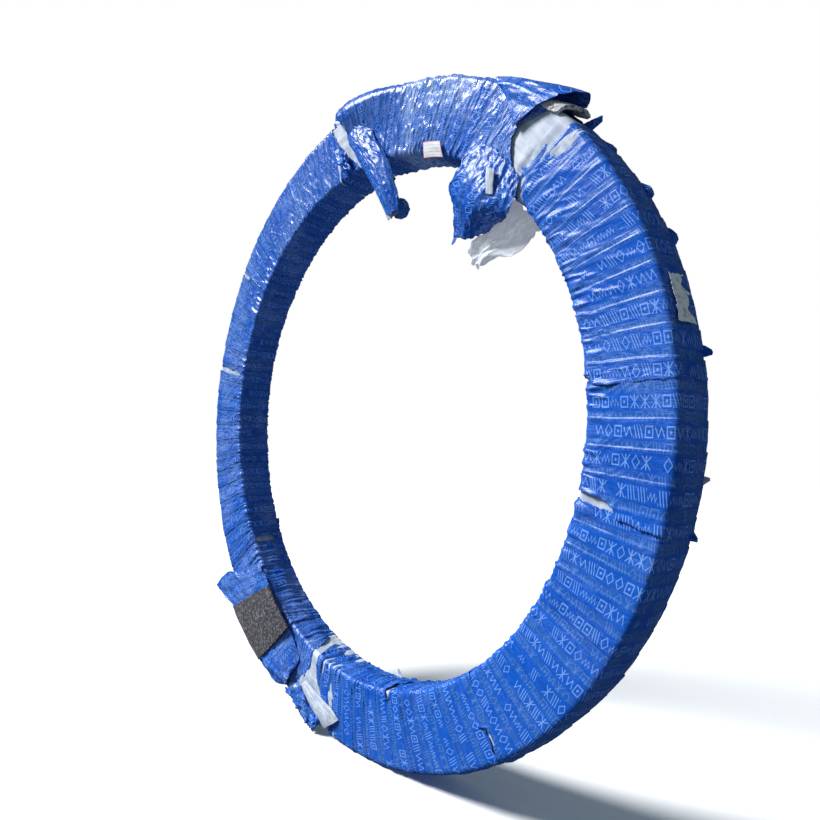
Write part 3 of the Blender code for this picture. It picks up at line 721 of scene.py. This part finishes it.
def cloth_material(name, base, shade, dirt_amount, painted_glow=0.0):
    """Thin white woven cloth, streaked along its threads, a little soiled.

    glow is painted light: an emission that stands for daylight coming through a single hanging layer.
    """
    paint = Paint(name, roughness=0.72, sheen_weight=0.1, emission_strength=painted_glow,
                  emission_color=(*base, 1.0))
    along, across = paint.sheet_place()
    here = paint.object_place()
    threads = paint.noise(paint.vector(along * 420.0, across * 30.0), 1.0, 2.0)
    cross = paint.noise(paint.vector(along * 30.0, across * 420.0), 1.0, 2.0)
    streak = paint.noise(paint.vector(along * 60.0, across * 9.0), 1.0, 3.0)
    colour = paint.mix(paint.smooth(streak, 0.35, 0.7), (*shade, 1.0), (*base, 1.0))
    dirt = paint.smooth(paint.noise(here, 130.0, 4.0, 0.7), 0.66, 0.72)
    smudge = paint.smooth(paint.noise(here, 24.0, 3.0), 0.52, 0.72)
    colour = paint.mix(dirt * smudge * dirt_amount, colour, (0.12, 0.11, 0.11, 1.0))
    normal = paint.bump(threads + cross + streak * 1.5, 0.5, 0.5 * MM)
    return paint.surface(base_color=colour, normal=normal)


def felt_material(name, base, light, dark):
    """Speckled grey felt of mixed fibres."""
    paint = Paint(name, roughness=0.95, sheen_weight=0.1, sheen_roughness=0.6)
    here = paint.object_place()
    fibres = paint.noise(here, 120.0, 2.0, 0.6, 1.0)
    tufts = paint.noise(here, 60.0, 3.0, 0.6)
    flecks = paint.noise(here, 150.0, 2.0, 0.6)
    colour = paint.mix(paint.smooth(fibres, 0.46, 0.54), (*dark, 1.0), (*base, 1.0))
    colour = paint.mix(paint.smooth(flecks, 0.52, 0.60) * 0.8, colour, (*light, 1.0))
    colour = paint.mix(paint.smooth(tufts, 0.60, 0.72) * 0.25, colour, (0.16, 0.09, 0.09, 1.0))
    normal = paint.bump(fibres + tufts * 0.7, 0.9, 2.0 * MM)
    return paint.surface(base_color=colour, normal=normal)


def paper_material(name, border, soiled):
    """Label paper with a printed border and rows of grey strokes, or torn and soiled."""
    paint = Paint(name, roughness=0.6)
    along, across = paint.sheet_place()
    here = paint.object_place()
    # The torn label's paper is lighter: painted light that makes up for the shade it lies in on the rim
    colour = (0.60, 0.61, 0.64, 1.0) if border else (0.92, 0.92, 0.93, 1.0)
    if border:
        rim = along.maths("MINIMUM", border[0] - along).maths(
            "MINIMUM", across.maths("MINIMUM", border[1] - across))
        line = paint.falling(abs(rim - 1.6 * MM), 0.7 * MM, 1.2 * MM)
        colour = paint.mix(line, colour, (0.72, 0.10, 0.12, 1.0))
        row = across / (6.5 * MM)
        stripe = paint.falling(abs(row - row.floor() - 0.5), 0.12, 0.22)
        words = paint.smooth(paint.noise(paint.vector(along * 420.0, row.floor() * 7.0), 1.0), 0.47, 0.55)
        inside = paint.smooth(rim, 4.0 * MM, 5.0 * MM)
        colour = paint.mix(stripe * words * inside * 0.85, colour, (0.16, 0.17, 0.2, 1.0))
    else:
        stain = paint.smooth(paint.noise(here, 90.0, 4.0, 0.7), 0.50, 0.64)
        colour = paint.mix(stain * soiled, colour, (0.22, 0.20, 0.18, 1.0))
        ink = paint.smooth(paint.noise(here, 300.0, 2.0), 0.62, 0.7)
        colour = paint.mix(ink * soiled, colour, (0.06, 0.06, 0.07, 1.0))
    normal = paint.bump(paint.noise(here, 60.0, 2.0), 0.3, 0.5 * MM)
    return paint.surface(base_color=colour, normal=normal)


def metal_material(name, colour, roughness, grain):
    """Machined steel with turning marks and a film of grease."""
    paint = Paint(name, metallic=1.0)
    here = paint.object_place()
    cloud = paint.noise(here, 35.0, 4.0)
    scratches = paint.noise(here, grain, 3.0, 0.7)
    tint = paint.mix(paint.smooth(cloud, 0.35, 0.7) * 0.5, (*colour, 1.0),
                     (colour[0] * 0.7, colour[1] * 0.68, colour[2] * 0.62, 1.0))
    normal = paint.bump(scratches, 0.15, 0.2 * MM)
    return paint.surface(base_color=tint, roughness=roughness + (cloud - 0.5) * 0.25, normal=normal)


def rubber_material():
    """Black nitrile rubber."""
    paint = Paint("seal_rubber", roughness=0.55)
    here = paint.object_place()
    dust = paint.smooth(paint.noise(here, 60.0, 4.0), 0.5, 0.75)
    colour = paint.mix(dust * 0.35, (0.012, 0.012, 0.013, 1.0), (0.06, 0.055, 0.05, 1.0))
    return paint.surface(base_color=colour, normal=paint.bump(dust, 0.2, 0.3 * MM))


# --- Settings ---------------------------------------------------------------------------------

class FilmSettings(bpy.types.PropertyGroup):
    """The wound film's sizes and colours."""

    band_count: IntProperty(name="Turns", description="Turns of film around the whole ring",
                            default=TURNS, min=20, max=200)
    lap_step: FloatProperty(name="Lap step", description="Height of a turn's edge over the last",
                            default=1.7 * MM, unit="LENGTH")
    fold_depth: FloatProperty(name="Fold depth", description="Height of the long folds",
                              default=1.0 * MM, unit="LENGTH")
    gather_depth: FloatProperty(name="Gather depth", description="Depth of the pleats at the bore",
                                default=2.6 * MM, unit="LENGTH")
    liner_depth: FloatProperty(name="Deepest fold", description="How far in the film may dip",
                               default=2.9 * MM, unit="LENGTH")
    fan_depth: FloatProperty(name="Fan depth", description="Depth of the wrinkles over the face",
                             default=1.4 * MM, unit="LENGTH")
    puff: FloatProperty(name="Puff", description="How far the film stands off the rim and the bore",
                        default=4 * MM, unit="LENGTH")
    thickness: FloatProperty(name="Thickness", description="Thickness of the wound film",
                             default=0.5 * MM, unit="LENGTH")
    blue: FloatVectorProperty(name="Film", description="Colour of a turn's open part",
                              subtype="COLOR", default=(0.002, 0.088, 0.51))
    dull_blue: FloatVectorProperty(name="Overlap", description="Colour where turns overlap",
                                   subtype="COLOR", default=(0.016, 0.105, 0.43))
    deep_blue: FloatVectorProperty(name="Deep", description="Colour of the darker turns",
                                   subtype="COLOR", default=(0.002, 0.042, 0.33))
    # Colour of the painted sheen over the film's hazy stretches
    sheen_blue: FloatVectorProperty(name="Haze", description="Colour of the hazy stretches",
                                   subtype="COLOR", default=(0.07, 0.19, 0.54))
    mark_blue: FloatVectorProperty(name="Print", description="Colour of the printed strokes",
                                   subtype="COLOR", default=(0.20, 0.39, 0.80))
    # Colour of the painted highlights on the film's creases
    crease_highlight_colour: FloatVectorProperty(name="Creases", description="Colour of whitened creases",
                                      subtype="COLOR", default=(0.45, 0.60, 0.90))


class SheetSettings(bpy.types.PropertyGroup):
    """The liner's, felt's and labels' sizes."""

    liner_inset: FloatProperty(name="Liner depth", description="Depth of the liner under the film",
                               default=5.0 * MM, unit="LENGTH")
    liner_thickness: FloatProperty(name="Liner thickness", description="Thickness of the cloth",
                                   default=0.6 * MM, unit="LENGTH")
    flap_thickness: FloatProperty(name="Flap thickness", description="Thickness of loose film",
                                  default=0.6 * MM, unit="LENGTH")
    felt_thickness: FloatProperty(name="Felt thickness", description="Thickness of a felt pad",
                                  default=6.0 * MM, unit="LENGTH")
    paper_thickness: FloatProperty(name="Paper thickness", description="Thickness of a label",
                                   default=0.4 * MM, unit="LENGTH")


class StageSettings(bpy.types.PropertyGroup):
    """The floor, lights and camera."""

    lens: FloatProperty(name="Lens", description="Focal length in millimetres", default=27.97)
    floor_size: FloatProperty(name="Floor", description="Side of the floor", default=30.0,
                              unit="LENGTH")
    floor_colour: FloatVectorProperty(name="Floor colour", description="Colour of the floor",
                                      subtype="COLOR", default=(0.98, 0.98, 0.985))
    fill: FloatProperty(name="Fill", description="Light from all around", default=0.25)
    fill_colour: FloatVectorProperty(name="Fill colour", description="Colour of the fill light",
                                     subtype="COLOR", default=(0.66, 0.85, 1.0))
    key_strength: FloatProperty(name="Key light", description="Strength of the soft key light",
                                default=5.5)


# --- Operators --------------------------------------------------------------------------------

def film():
    """The film's material, made once."""
    return (bpy.data.materials.get("blue_film_print")
            or film_material(bpy.context.scene.film_settings))


def cloth():
    """The liner cloth's material, made once."""
    return (bpy.data.materials.get("liner_weave")
            or cloth_material("liner_weave", (0.62, 0.68, 0.78), (0.38, 0.44, 0.55), 0.5))


def film_flap(name, net, nodes=(), **look):
    """A loose piece of film over a net."""
    thickness = bpy.context.scene.sheet_settings.flap_thickness
    loose_sheet(name, net, film(), "blue_film", thickness, nodes, **look)


def cloth_flap(name, net, nodes=(), **look):
    """A loose piece of the liner's cloth over a net."""
    thickness = bpy.context.scene.sheet_settings.liner_thickness
    loose_sheet(name, net, cloth(), "liner_cloth", thickness, nodes, **look)


class BEARING_OT_film_sections(bpy.types.Operator):
    """Wind the film around the ring, section by section"""

    bl_idname = "bearing.film_sections"
    bl_label = "Wound film"

    def execute(self, context):
        settings = context.scene.film_settings
        for number, node in enumerate(SECTION_NAMES):
            wind_section(node, settings, film(), 100 + 20 * number)
        return {"FINISHED"}


class BEARING_OT_liner(bpy.types.Operator):
    """Wrap the cloth liner around the bearing"""

    bl_idname = "bearing.liner"
    bl_label = "Cloth liner"

    def execute(self, context):
        settings = context.scene.sheet_settings
        for number, node in enumerate(SLEEVE_NAMES):
            wind_sleeve(node, settings, cloth(), 700 + 10 * number)
        return {"FINISHED"}


class BEARING_OT_upper_flaps(bpy.types.Operator):
    """Drape the loose film and cloth around the upper patch"""

    bl_idname = "bearing.upper_flaps"
    bl_label = "Upper flaps"

    def execute(self, context):
        rolled = [
            [(-50, -46, 636), (-18, -52, 628), (14, -52, 614), (42, -46, 598)],
            [(-46, -47, 606), (-15, -56, 598), (18, -56, 586), (52, -47, 572)],
            [(-10, -48, 552), (22, -58, 544), (56, -58, 534), (88, -48, 523)],
            [(22, -47, 503), (51, -58, 495), (83, -58, 484), (110, -47, 470)],
            [(54, -45, 454), (77, -56, 446), (100, -55, 439), (122, -45, 430)],
            [(84, -43, 400), (98, -52, 392), (110, -52, 392), (124, -43, 400)],
        ]
        film_flap("rolled_flap_film", from_centre(rolled), ["rolled_flap"], crease=1.5 * MM,
                  crease_size=9 * MM, stretch=3.0, ragged=0.02, seed=3, crumple=0.25,
                  rests_on=["upper_patch_wrap_film"])
        lining = [
            [(-44, -46, 633), (-10, -47, 622), (34, -46, 602)],
            [(-38, -46.5, 602), (0, -48, 590), (45, -46.5, 574)],
            [(-2, -46.5, 543), (38, -49, 535), (79, -46.5, 526)],
            [(28, -45, 494), (66, -48, 485), (103, -45, 474)],
            [(57, -43, 443), (86, -46, 438), (114, -43, 434)],
            [(86, -41, 388), (101, -43, 391), (118, -41, 398)],
        ]
        cloth_flap("rolled_flap_lining", from_centre(lining), crease=1.0 * MM, ragged=0.015,
                   seed=5, rests_on=["upper_patch_wrap_film"])
        behind = [
            [(80, -34, 450), (98, -28, 440), (114, -22, 434)],
            [(86, -34, 430), (104, -24, 420), (122, -16, 416)],
            [(90, -32, 408), (106, -24, 402), (122, -16, 404)],
            [(94, -30, 394), (104, -24, 391), (112, -18, 395)],
        ]
        film_flap("rolled_flap_tail", from_centre(behind), crease=3.0 * MM, ragged=0.05, seed=8,
                  held="hung", rests_on=["rolled_flap_film"])
        gathered = [
            [(-86, -46, 592), (-62, -52, 584), (-40, -50, 572)],
            [(-82, -47, 574), (-56, -60, 562), (-30, -54, 548)],
            [(-66, -46, 552), (-40, -60, 540), (-14, -53, 528)],
            [(-48, -42, 530), (-26, -52, 520), (-4, -46, 510)],
        ]
        film_flap("gathered_end", from_centre(gathered), crease=5.0 * MM, crease_size=14 * MM,
                  stretch=1.4, ragged=0.06, seed=12, held="gathered",
                  rests_on=["wrap_section_9_film"])
        hanging = [
            [(320, -44, 470), (380, -44, 425), (420, -44, 365)],
            [(305, -48, 450), (368, -50, 400), (415, -47, 345)],
            [(285, -53, 420), (350, -60, 370), (410, -52, 320)],
            [(255, -42, 405), (330, -59, 348), (390, -44, 310)],
            [(250, -28, 380), (310, -46, 335), (365, -30, 310)],
            [(240, -14, 355), (290, -26, 322), (340, -16, 315)],
            [(225, 0, 330), (275, -8, 310), (322, -3, 315)],
        ]
        film_flap("hanging_flap_film", from_centre(hanging), ["hanging_flap"], crease=2.0 * MM,
                  crease_size=11 * MM, stretch=1.6, ragged=0.025, seed=21, held="hung",
                  crumple=0.3, rests_on=["upper_patch_wrap_film"])
        tip = [
            [(232, -4, 345), (246, -8, 336)],
            [(226, 0, 330), (236, -2, 324)],
            [(216, 4, 318), (222, 2, 314)],
        ]
        film_flap("hanging_flap_tip", from_centre(tip), crease=1.5 * MM, crease_size=8 * MM,
                  ragged=0.05, seed=23, held="hung", rests_on=["hanging_flap_film"])
        tongue = [
            [(358, -57, 402), (367, -58.5, 396), (377, -57, 390)],
            [(359, -61, 378), (367, -62, 372), (376, -60, 368)],
            [(359, -60.5, 354), (366, -61, 350), (374, -59, 346)],
        ]
        cloth_flap("liner_tongue", from_centre(tongue), crease=0.6 * MM, ragged=0.04, seed=25,
                   held="hung", rests_on=["hanging_flap_film"])
        tail = [
            [(382, -8, 356), (401, 2, 342), (420, -2, 324), (440, 12, 303)],
            [(350, -4, 347), (368, -14, 327), (390, 4, 310), (420, 6, 286)],
            [(310, 2, 328), (328, -10, 302), (352, 8, 288), (378, -4, 258)],
            [(276, -4, 308), (289, 6, 284), (308, -8, 270), (322, 8, 266)],
            [(266, 0, 290), (272, -6, 270), (283, 4, 252), (294, 0, 262)],
        ]
        # The tail's cloth glows: painted light standing in for daylight through its single hanging layer
        glowing_cloth = cloth_material("liner_weave_thin", (0.72, 0.75, 0.80), (0.36, 0.39, 0.46), 0.9, 0.28)
        loose_sheet("liner_tail_cloth", from_centre(tail), glowing_cloth, "liner_cloth",
                    context.scene.sheet_settings.liner_thickness, ["liner_tail"],
                    crease=4.0 * MM, crease_size=22 * MM, stretch=3.0, ragged=0.06, seed=31,
                    held="hung", rests_on=["liner_sleeve_1"])
        pointed = [
            [(42.0, 613, -49), (38.4, 640, -48.5), (34.6, 662, -47), (33.4, 670, -40),
             (32.8, 671, -12), (32.5, 669, 27)],
            [(42.1, 612, -50), (39.6, 642, -50.5), (37.0, 664, -50), (36.6, 675, -42),
             (36.5, 677, -12), (36.5, 672, 27)],
            [(42.2, 611.5, -50.5), (41.0, 644, -52), (40.2, 667, -52), (40.6, 681, -44),
             (41.0, 687, -12), (41, 678, 27)],
            [(42.3, 611, -51), (42.6, 645, -53.5), (43.3, 670, -54), (44.2, 686, -45),
             (44.9, 699, -12), (44.4, 683, 26)],
            [(42.4, 610.5, -51), (44.2, 644, -54), (46.2, 671, -55), (47.4, 689, -45),
             (48.2, 708, -10), (46.6, 688, 24)],
        ]
        film_flap("pointed_flap_film", from_axis(pointed), ["pointed_flap"], crease=2.0 * MM,
                  crease_size=24 * MM, stretch=3.0, ragged=0.008, seed=41, outward=False,
                  crumple=0.4, turned=True,
                  rests_on=["upper_patch_wrap_film", "felt_pad_upper_felt"])
        return {"FINISHED"}


class BEARING_OT_lower_flaps(bpy.types.Operator):
    """Drape the loose sheet, its twisted tail and the cloth corner at the lower patch"""

    bl_idname = "bearing.lower_flaps"
    bl_label = "Lower flaps"

    def execute(self, context):
        sheet = [
            [(-632, -47, -427), (-574, -50, -386), (-505, -51, -372), (-402, -47, -342)],
            [(-576, -50, -446), (-520, -53, -420), (-455, -53, -395), (-372, -48, -362)],
            [(-512, -52, -470), (-462, -54, -452), (-404, -54, -430), (-338, -48, -396)],
            [(-440, -53, -528), (-400, -55, -500), (-352, -54, -470), (-296, -48, -436)],
            [(-368, -52, -574), (-338, -56, -546), (-300, -54, -508), (-256, -47, -470)],
            [(-310, -50, -602), (-288, -58, -572), (-262, -55, -540), (-230, -47, -500)],
            [(-262, -49, -598), (-247, -56, -582), (-231, -54, -560), (-212, -46, -532)],
        ]
        film_flap("lower_flap_film", from_centre(sheet), ["lower_flap"], crease=3.0 * MM,
                  crease_size=30 * MM, ragged=0.006, seed=61, turned=True,
                  rests_on=["lower_patch_wrap_film"])
        tail = [
            [(-264, -50, -600), (-236, -58, -594), (-204, -51, -568)],
            [(-238, -51, -618), (-212, -61, -606), (-188, -54, -586)],
            [(-208, -50, -640), (-186, -61, -624), (-166, -54, -604)],
            [(-180, -49, -654), (-163, -59, -641), (-146, -52, -622)],
            [(-160, -48, -660), (-149, -58, -650), (-134, -50, -636)],
        ]
        film_flap("twisted_tail_film", from_centre(tail), ["twisted_tail"], cell=2.0 * MM,
                  crease=5.0 * MM, crease_size=13 * MM, stretch=2.6, ragged=0.03, seed=71,
                  held="gathered", rests_on=["liner_corner_cloth"])
        tuft = [
            [(-168, -50, -648), (-150, -57, -636), (-134, -50, -622)],
            [(-158, -52, -658), (-138, -60, -645), (-120, -52, -628)],
            [(-150, -49, -664), (-134, -56, -654), (-118, -49, -640)],
        ]
        film_flap("twisted_tail_tuft", from_centre(tuft), cell=2.0 * MM, crease=4.0 * MM,
                  crease_size=9 * MM, stretch=1.2, ragged=0.08, seed=73, held="gathered",
                  rests_on=["twisted_tail_film"])
        corner = [
            [(-204, -48, -588), (-192, -53, -576), (-180, -48, -566)],
            [(-168, -48, -616), (-152, -56, -600), (-136, -48, -584)],
            [(-128, -48, -642), (-107, -56, -623), (-86, -48, -600)],
            [(-112, -47, -650), (-87, -53, -635), (-60, -47, -618)],
        ]
        cloth_flap("liner_corner_cloth", from_centre(corner), ["liner_corner"], crease=0.8 * MM,
                   crease_size=20 * MM, stretch=6.0, ragged=0.015, seed=81, held="folded",
                   rests_on=["wrap_section_5_film"])
        return {"FINISHED"}


class BEARING_OT_felt_pads(bpy.types.Operator):
    """Lay the two felt pads"""

    bl_idname = "bearing.felt_pads"
    bl_label = "Felt pads"

    def execute(self, context):
        sizes = context.scene.sheet_settings
        lower = [
            [(-517, -57, -464), (-430, -60, -426), (-341, -57, -385)],
            [(-449, -59, -516), (-370, -62, -471), (-295, -59, -426)],
            [(-378, -57, -567), (-312, -60, -520), (-248, -57, -466)],
        ]
        dark = felt_material("grey_felt_dark", (0.034, 0.032, 0.042), (0.17, 0.16, 0.20),
                             (0.008, 0.007, 0.010))
        loose_sheet("felt_pad_lower_felt", from_centre(lower), dark, "grey_felt",
                    sizes.felt_thickness, ["felt_pad_lower"], cell=4 * MM, crease=0.8 * MM,
                    crease_size=30 * MM, ragged=0.008, seed=91, held="laid",
                    rests_on=["lower_flap_film"])
        upper = [
            [(42.5, 660, -50), (43, 671, -43), (43, 673, -10), (43, 672, 24)],
            [(44.6, 658, -51), (45, 672, -44), (45.2, 677, -10), (45.2, 675, 24)],
            [(46.6, 658, -51), (47, 675, -44), (47.3, 683, -10), (47.2, 679, 22)],
            [(48.2, 661, -50), (48.6, 678, -43), (49.0, 688, -12), (48.8, 682, 16)],
        ]
        pale = felt_material("grey_felt_pale", (0.58, 0.58, 0.60), (0.78, 0.78, 0.80),
                             (0.16, 0.15, 0.15))
        loose_sheet("felt_pad_upper_felt", from_axis(upper), pale, "grey_felt",
                    sizes.felt_thickness, ["felt_pad_upper"], cell=3 * MM, crease=1.2 * MM,
                    crease_size=20 * MM, ragged=0.02, seed=95, held="folded",
                    rests_on=["upper_patch_wrap_film", "wrap_section_1_film"])
        return {"FINISHED"}


class BEARING_OT_labels(bpy.types.Operator):
    """Stick on the small paper label and the torn one"""

    bl_idname = "bearing.labels"
    bl_label = "Labels"

    def execute(self, context):
        sizes = context.scene.sheet_settings
        net = from_centre([[(196, -49.5, 508), (219, -50.5, 501), (241, -49.5, 494)],
                           [(198, -50.5, 492), (221, -51, 486), (245, -50.5, 477)],
                           [(199, -49.5, 476), (224, -50, 469), (249, -49, 460)]])
        t, s = np.meshgrid(np.linspace(0, 1, 24), np.linspace(0, 1, 30), indexing="ij")
        points = smooth_surface(net, t, s)
        points[..., 1] += 0.5 * MM * Noise(5)(s * 4, t * 3)
        size = (48 * MM, 35 * MM)
        piece = grid_piece("paper_label_sheet", points, np.stack((s * size[0], t * size[1]), -1))
        thicken(piece, sizes.paper_thickness, inward=False)
        finish_piece(piece, paper_material("label_print", size, 0.0),
                     ["paper_label"])

        height, width = 54 * MM, 70 * MM
        t, s = np.meshgrid(np.linspace(0, 1, 60), np.linspace(0, 1, 60), indexing="ij")
        angle = 75.9 + 6.0 * t
        y = (-33 + 54 * s) * MM
        radius = RIM_RADIUS + (3.4 + 3.6 * ease(s, 0.0, 0.5)) * MM + 0.6 * MM * Noise(6)(s * 6, t * 7)
        torn = Noise(9)
        bite = 0.62 + 0.25 * torn(t * 5, 2) + 0.12 * torn(t * 16, 5) + 0.28 * ease(t, 0.7, 0.95)
        keep = (s < bite) & (t > 0.04 + 0.05 * torn(s * 8, 11)) & (s > 0.03 * (1 + torn(t * 20, 3)))
        piece = grid_piece("torn_label_sheet", on_ring(angle, radius, y),
                           np.stack((s * height, t * width), -1), keep=keep)
        thicken(piece, sizes.paper_thickness, inward=False)
        finish_piece(piece, paper_material("label_torn", None, 0.6),
                     ["torn_label"])
        return {"FINISHED"}


class BEARING_OT_film_tips(bpy.types.Operator):
    """Let small torn tips of film and cloth stand up along the edges"""

    bl_idname = "bearing.film_tips"
    bl_label = "Torn tips"

    # name, angle, radius and y of the root, its rise, its width, its lean along the rim, cloth
    tips = (
        ("film_tip_1", 47.4, 661, 36, 32, 26, 16, False),
        ("film_tip_2", 52.6, 661, 38, 11, 52, 8, False),
        ("film_tip_9", 61.6, 662, 38, 14, 44, 10, False),
        ("film_tip_3", 69.0, 661, 40, 14, 40, 8, False),
        ("film_tip_4", 84.5, 661, 40, 18, 20, 5, False),
        ("cloth_tip_1", 100.0, 661, 40, 15, 16, -4, True),
        ("film_tip_5", 106.5, 661, 40, 15, 20, 6, False),
        ("film_tip_6", 241.5, 533, 40, -18, 26, 5, False),
        ("cloth_tip_2", 176.5, 533, 36, -22, 24, 4, True),
        ("film_tip_7", 166.5, 533, -36, -16, 30, 8, False),
        ("film_tip_8", 352.6, 660, -40, 18, 34, -16, False),
    )

    def execute(self, context):
        for number, (name, angle, radius, y, rise, width, lean, is_cloth) in enumerate(self.tips):
            half = math.degrees(width / 2 / radius)
            shift = math.degrees(lean / radius)
            net = from_axis([
                [(angle - half, radius, y), (angle, radius + 1, y - 2), (angle + half, radius, y)],
                [(angle - half * 0.7 + shift * 0.5, radius + rise * 0.5, y + 2),
                 (angle + shift * 0.5, radius + rise * 0.55, y - 1),
                 (angle + half * 0.7 + shift * 0.5, radius + rise * 0.45, y + 3)],
                [(angle - half * 0.3 + shift, radius + rise * 0.9, y + 1),
                 (angle + shift, radius + rise, y), (angle + half * 0.25 + shift,
                                                     radius + rise * 0.8, y + 4)]])
            flap = cloth_flap if is_cloth else film_flap
            flap(name, net, cell=1.8 * MM, crease=1.2 * MM, crease_size=8 * MM, stretch=1.5,
                 ragged=0.05, seed=120 + number, crumple=0.5,
                 rests_on=["outer_ring"] if radius > 600 else ["inner_gear_ring"])
        return {"FINISHED"}


class BEARING_OT_bearing_steel(bpy.types.Operator):
    """Finish the bearing's own rings, balls, seals and plugs"""

    bl_idname = "bearing.bearing_steel"
    bl_label = "Bearing steel"

    def execute(self, context):
        finishes = {
            "outer_ring": metal_material("ring_turned", (0.50, 0.50, 0.49), 0.34, 420.0),
            "inner_gear": metal_material("gear_cut", (0.42, 0.42, 0.41), 0.40, 320.0),
            "ball_train": metal_material("ball_polished", (0.62, 0.62, 0.63), 0.10, 90.0),
            "plug": metal_material("plug_zinc", (0.46, 0.45, 0.42), 0.36, 520.0),
            "seal": rubber_material(),
        }
        for name, node in frame["nodes"].items():
            for key, material in finishes.items():
                if key in name:
                    node.material_slots[0].material = material
        return {"FINISHED"}


class BEARING_OT_stage(bpy.types.Operator):
    """Set the floor, the lights and the camera"""

    bl_idname = "bearing.stage"
    bl_label = "Stage"

    def execute(self, context):
        settings = context.scene.stage_settings
        self.add_floor(settings)
        self.add_world(settings)
        self.add_light("key", (-0.50, -0.53, 0.68), 18.0, settings.key_strength)
        self.add_camera(settings)
        return {"FINISHED"}

    def add_floor(self, settings):
        bpy.ops.object.select_all(action="DESELECT")
        bpy.ops.mesh.primitive_plane_add(size=settings.floor_size, location=(0, 0, FLOOR))
        floor = bpy.context.object
        floor.name = "floor"
        bpy.ops.object.transform_apply(location=True, rotation=False, scale=False)
        paint = Paint("floor_paint", roughness=0.8)
        tone = paint.noise(paint.object_place(), 2.0, 3.0)
        colour = settings.floor_colour
        floor.data.materials.append(paint.surface(base_color=paint.mix(
            tone * 0.2, (*colour, 1.0), (colour[0] * 0.96, colour[1] * 0.96, colour[2] * 0.96, 1))))
        floor.visible_diffuse = False
        floor.visible_glossy = False

    def add_world(self, settings):
        paint = Paint(bpy.data.worlds.new("studio"))
        seen = paint.node("ShaderNodeLightPath", None, None, 0)
        mirrored = paint.node("ShaderNodeLightPath", None, None, 3)
        paint.surface(color=paint.mix(seen, (*settings.fill_colour, 1.0), (1.0, 1.0, 1.0, 1.0)),
                      strength=settings.fill * (1.0 - mirrored * 0.8) + seen * (1.0 - settings.fill))
        bpy.context.scene.world = paint.owner

    def add_light(self, name, direction, spread, strength):
        """A soft light that comes evenly from one side, its spread in degrees."""
        data = bpy.data.lights.new(name, "SUN")
        data.angle = math.radians(spread)
        data.energy = strength
        light = bpy.data.objects.new(name, data)
        light.location = CENTRE + Vector(direction) * 4.0
        light.rotation_euler = Vector(direction).to_track_quat("Z", "Y").to_euler()
        bpy.context.scene.collection.objects.link(light)

    def add_camera(self, settings):
        data = bpy.data.cameras.new("camera")
        data.lens = settings.lens
        data.sensor_width = 36.0
        camera = bpy.data.objects.new("camera", data)
        camera.location = CENTRE + Vector((1.5528, -1.2571, -0.1290)) * RIM_RADIUS
        forward = Vector((-0.7408, 0.6672, 0.0777))
        camera.rotation_euler = forward.to_track_quat("-Z", "Y").to_euler()
        bpy.context.scene.collection.objects.link(camera)
        bpy.context.scene.camera = camera
        bpy.context.scene.view_settings.view_transform = "Standard"


class BEARING_PT_wrapping(bpy.types.Panel):
    """Buttons for the wrapping's pieces and its stage"""

    bl_idname = "BEARING_PT_wrapping"
    bl_label = "Slewing ring bearing"
    bl_space_type = "VIEW_3D"
    bl_region_type = "UI"
    bl_category = "Slewing ring"

    def draw(self, context):
        for operator in OPERATORS:
            self.layout.operator(operator.bl_idname)
        for group in (context.scene.film_settings, context.scene.sheet_settings,
                      context.scene.stage_settings):
            for name in group.__annotations__:
                self.layout.prop(group, name)


OPERATORS = (BEARING_OT_bearing_steel, BEARING_OT_liner, BEARING_OT_film_sections,
             BEARING_OT_felt_pads, BEARING_OT_upper_flaps, BEARING_OT_lower_flaps,
             BEARING_OT_labels, BEARING_OT_film_tips, BEARING_OT_stage)
CLASSES = (FilmSettings, SheetSettings, StageSettings, *OPERATORS, BEARING_PT_wrapping)


def register():
    for made in CLASSES:
        bpy.utils.register_class(made)
    bpy.types.Scene.film_settings = PointerProperty(type=FilmSettings)
    bpy.types.Scene.sheet_settings = PointerProperty(type=SheetSettings)
    bpy.types.Scene.stage_settings = PointerProperty(type=StageSettings)


def unregister():
    del bpy.types.Scene.stage_settings
    del bpy.types.Scene.sheet_settings
    del bpy.types.Scene.film_settings
    for made in reversed(CLASSES):
        bpy.utils.unregister_class(made)


def main():
    register()
    bpy.ops.bearing.bearing_steel()
    bpy.ops.bearing.liner()
    bpy.ops.bearing.film_sections()
    bpy.ops.bearing.felt_pads()
    bpy.ops.bearing.upper_flaps()
    bpy.ops.bearing.lower_flaps()
    bpy.ops.bearing.labels()
    bpy.ops.bearing.film_tips()
    bpy.ops.bearing.stage()


if __name__ == "__main__":
    main()
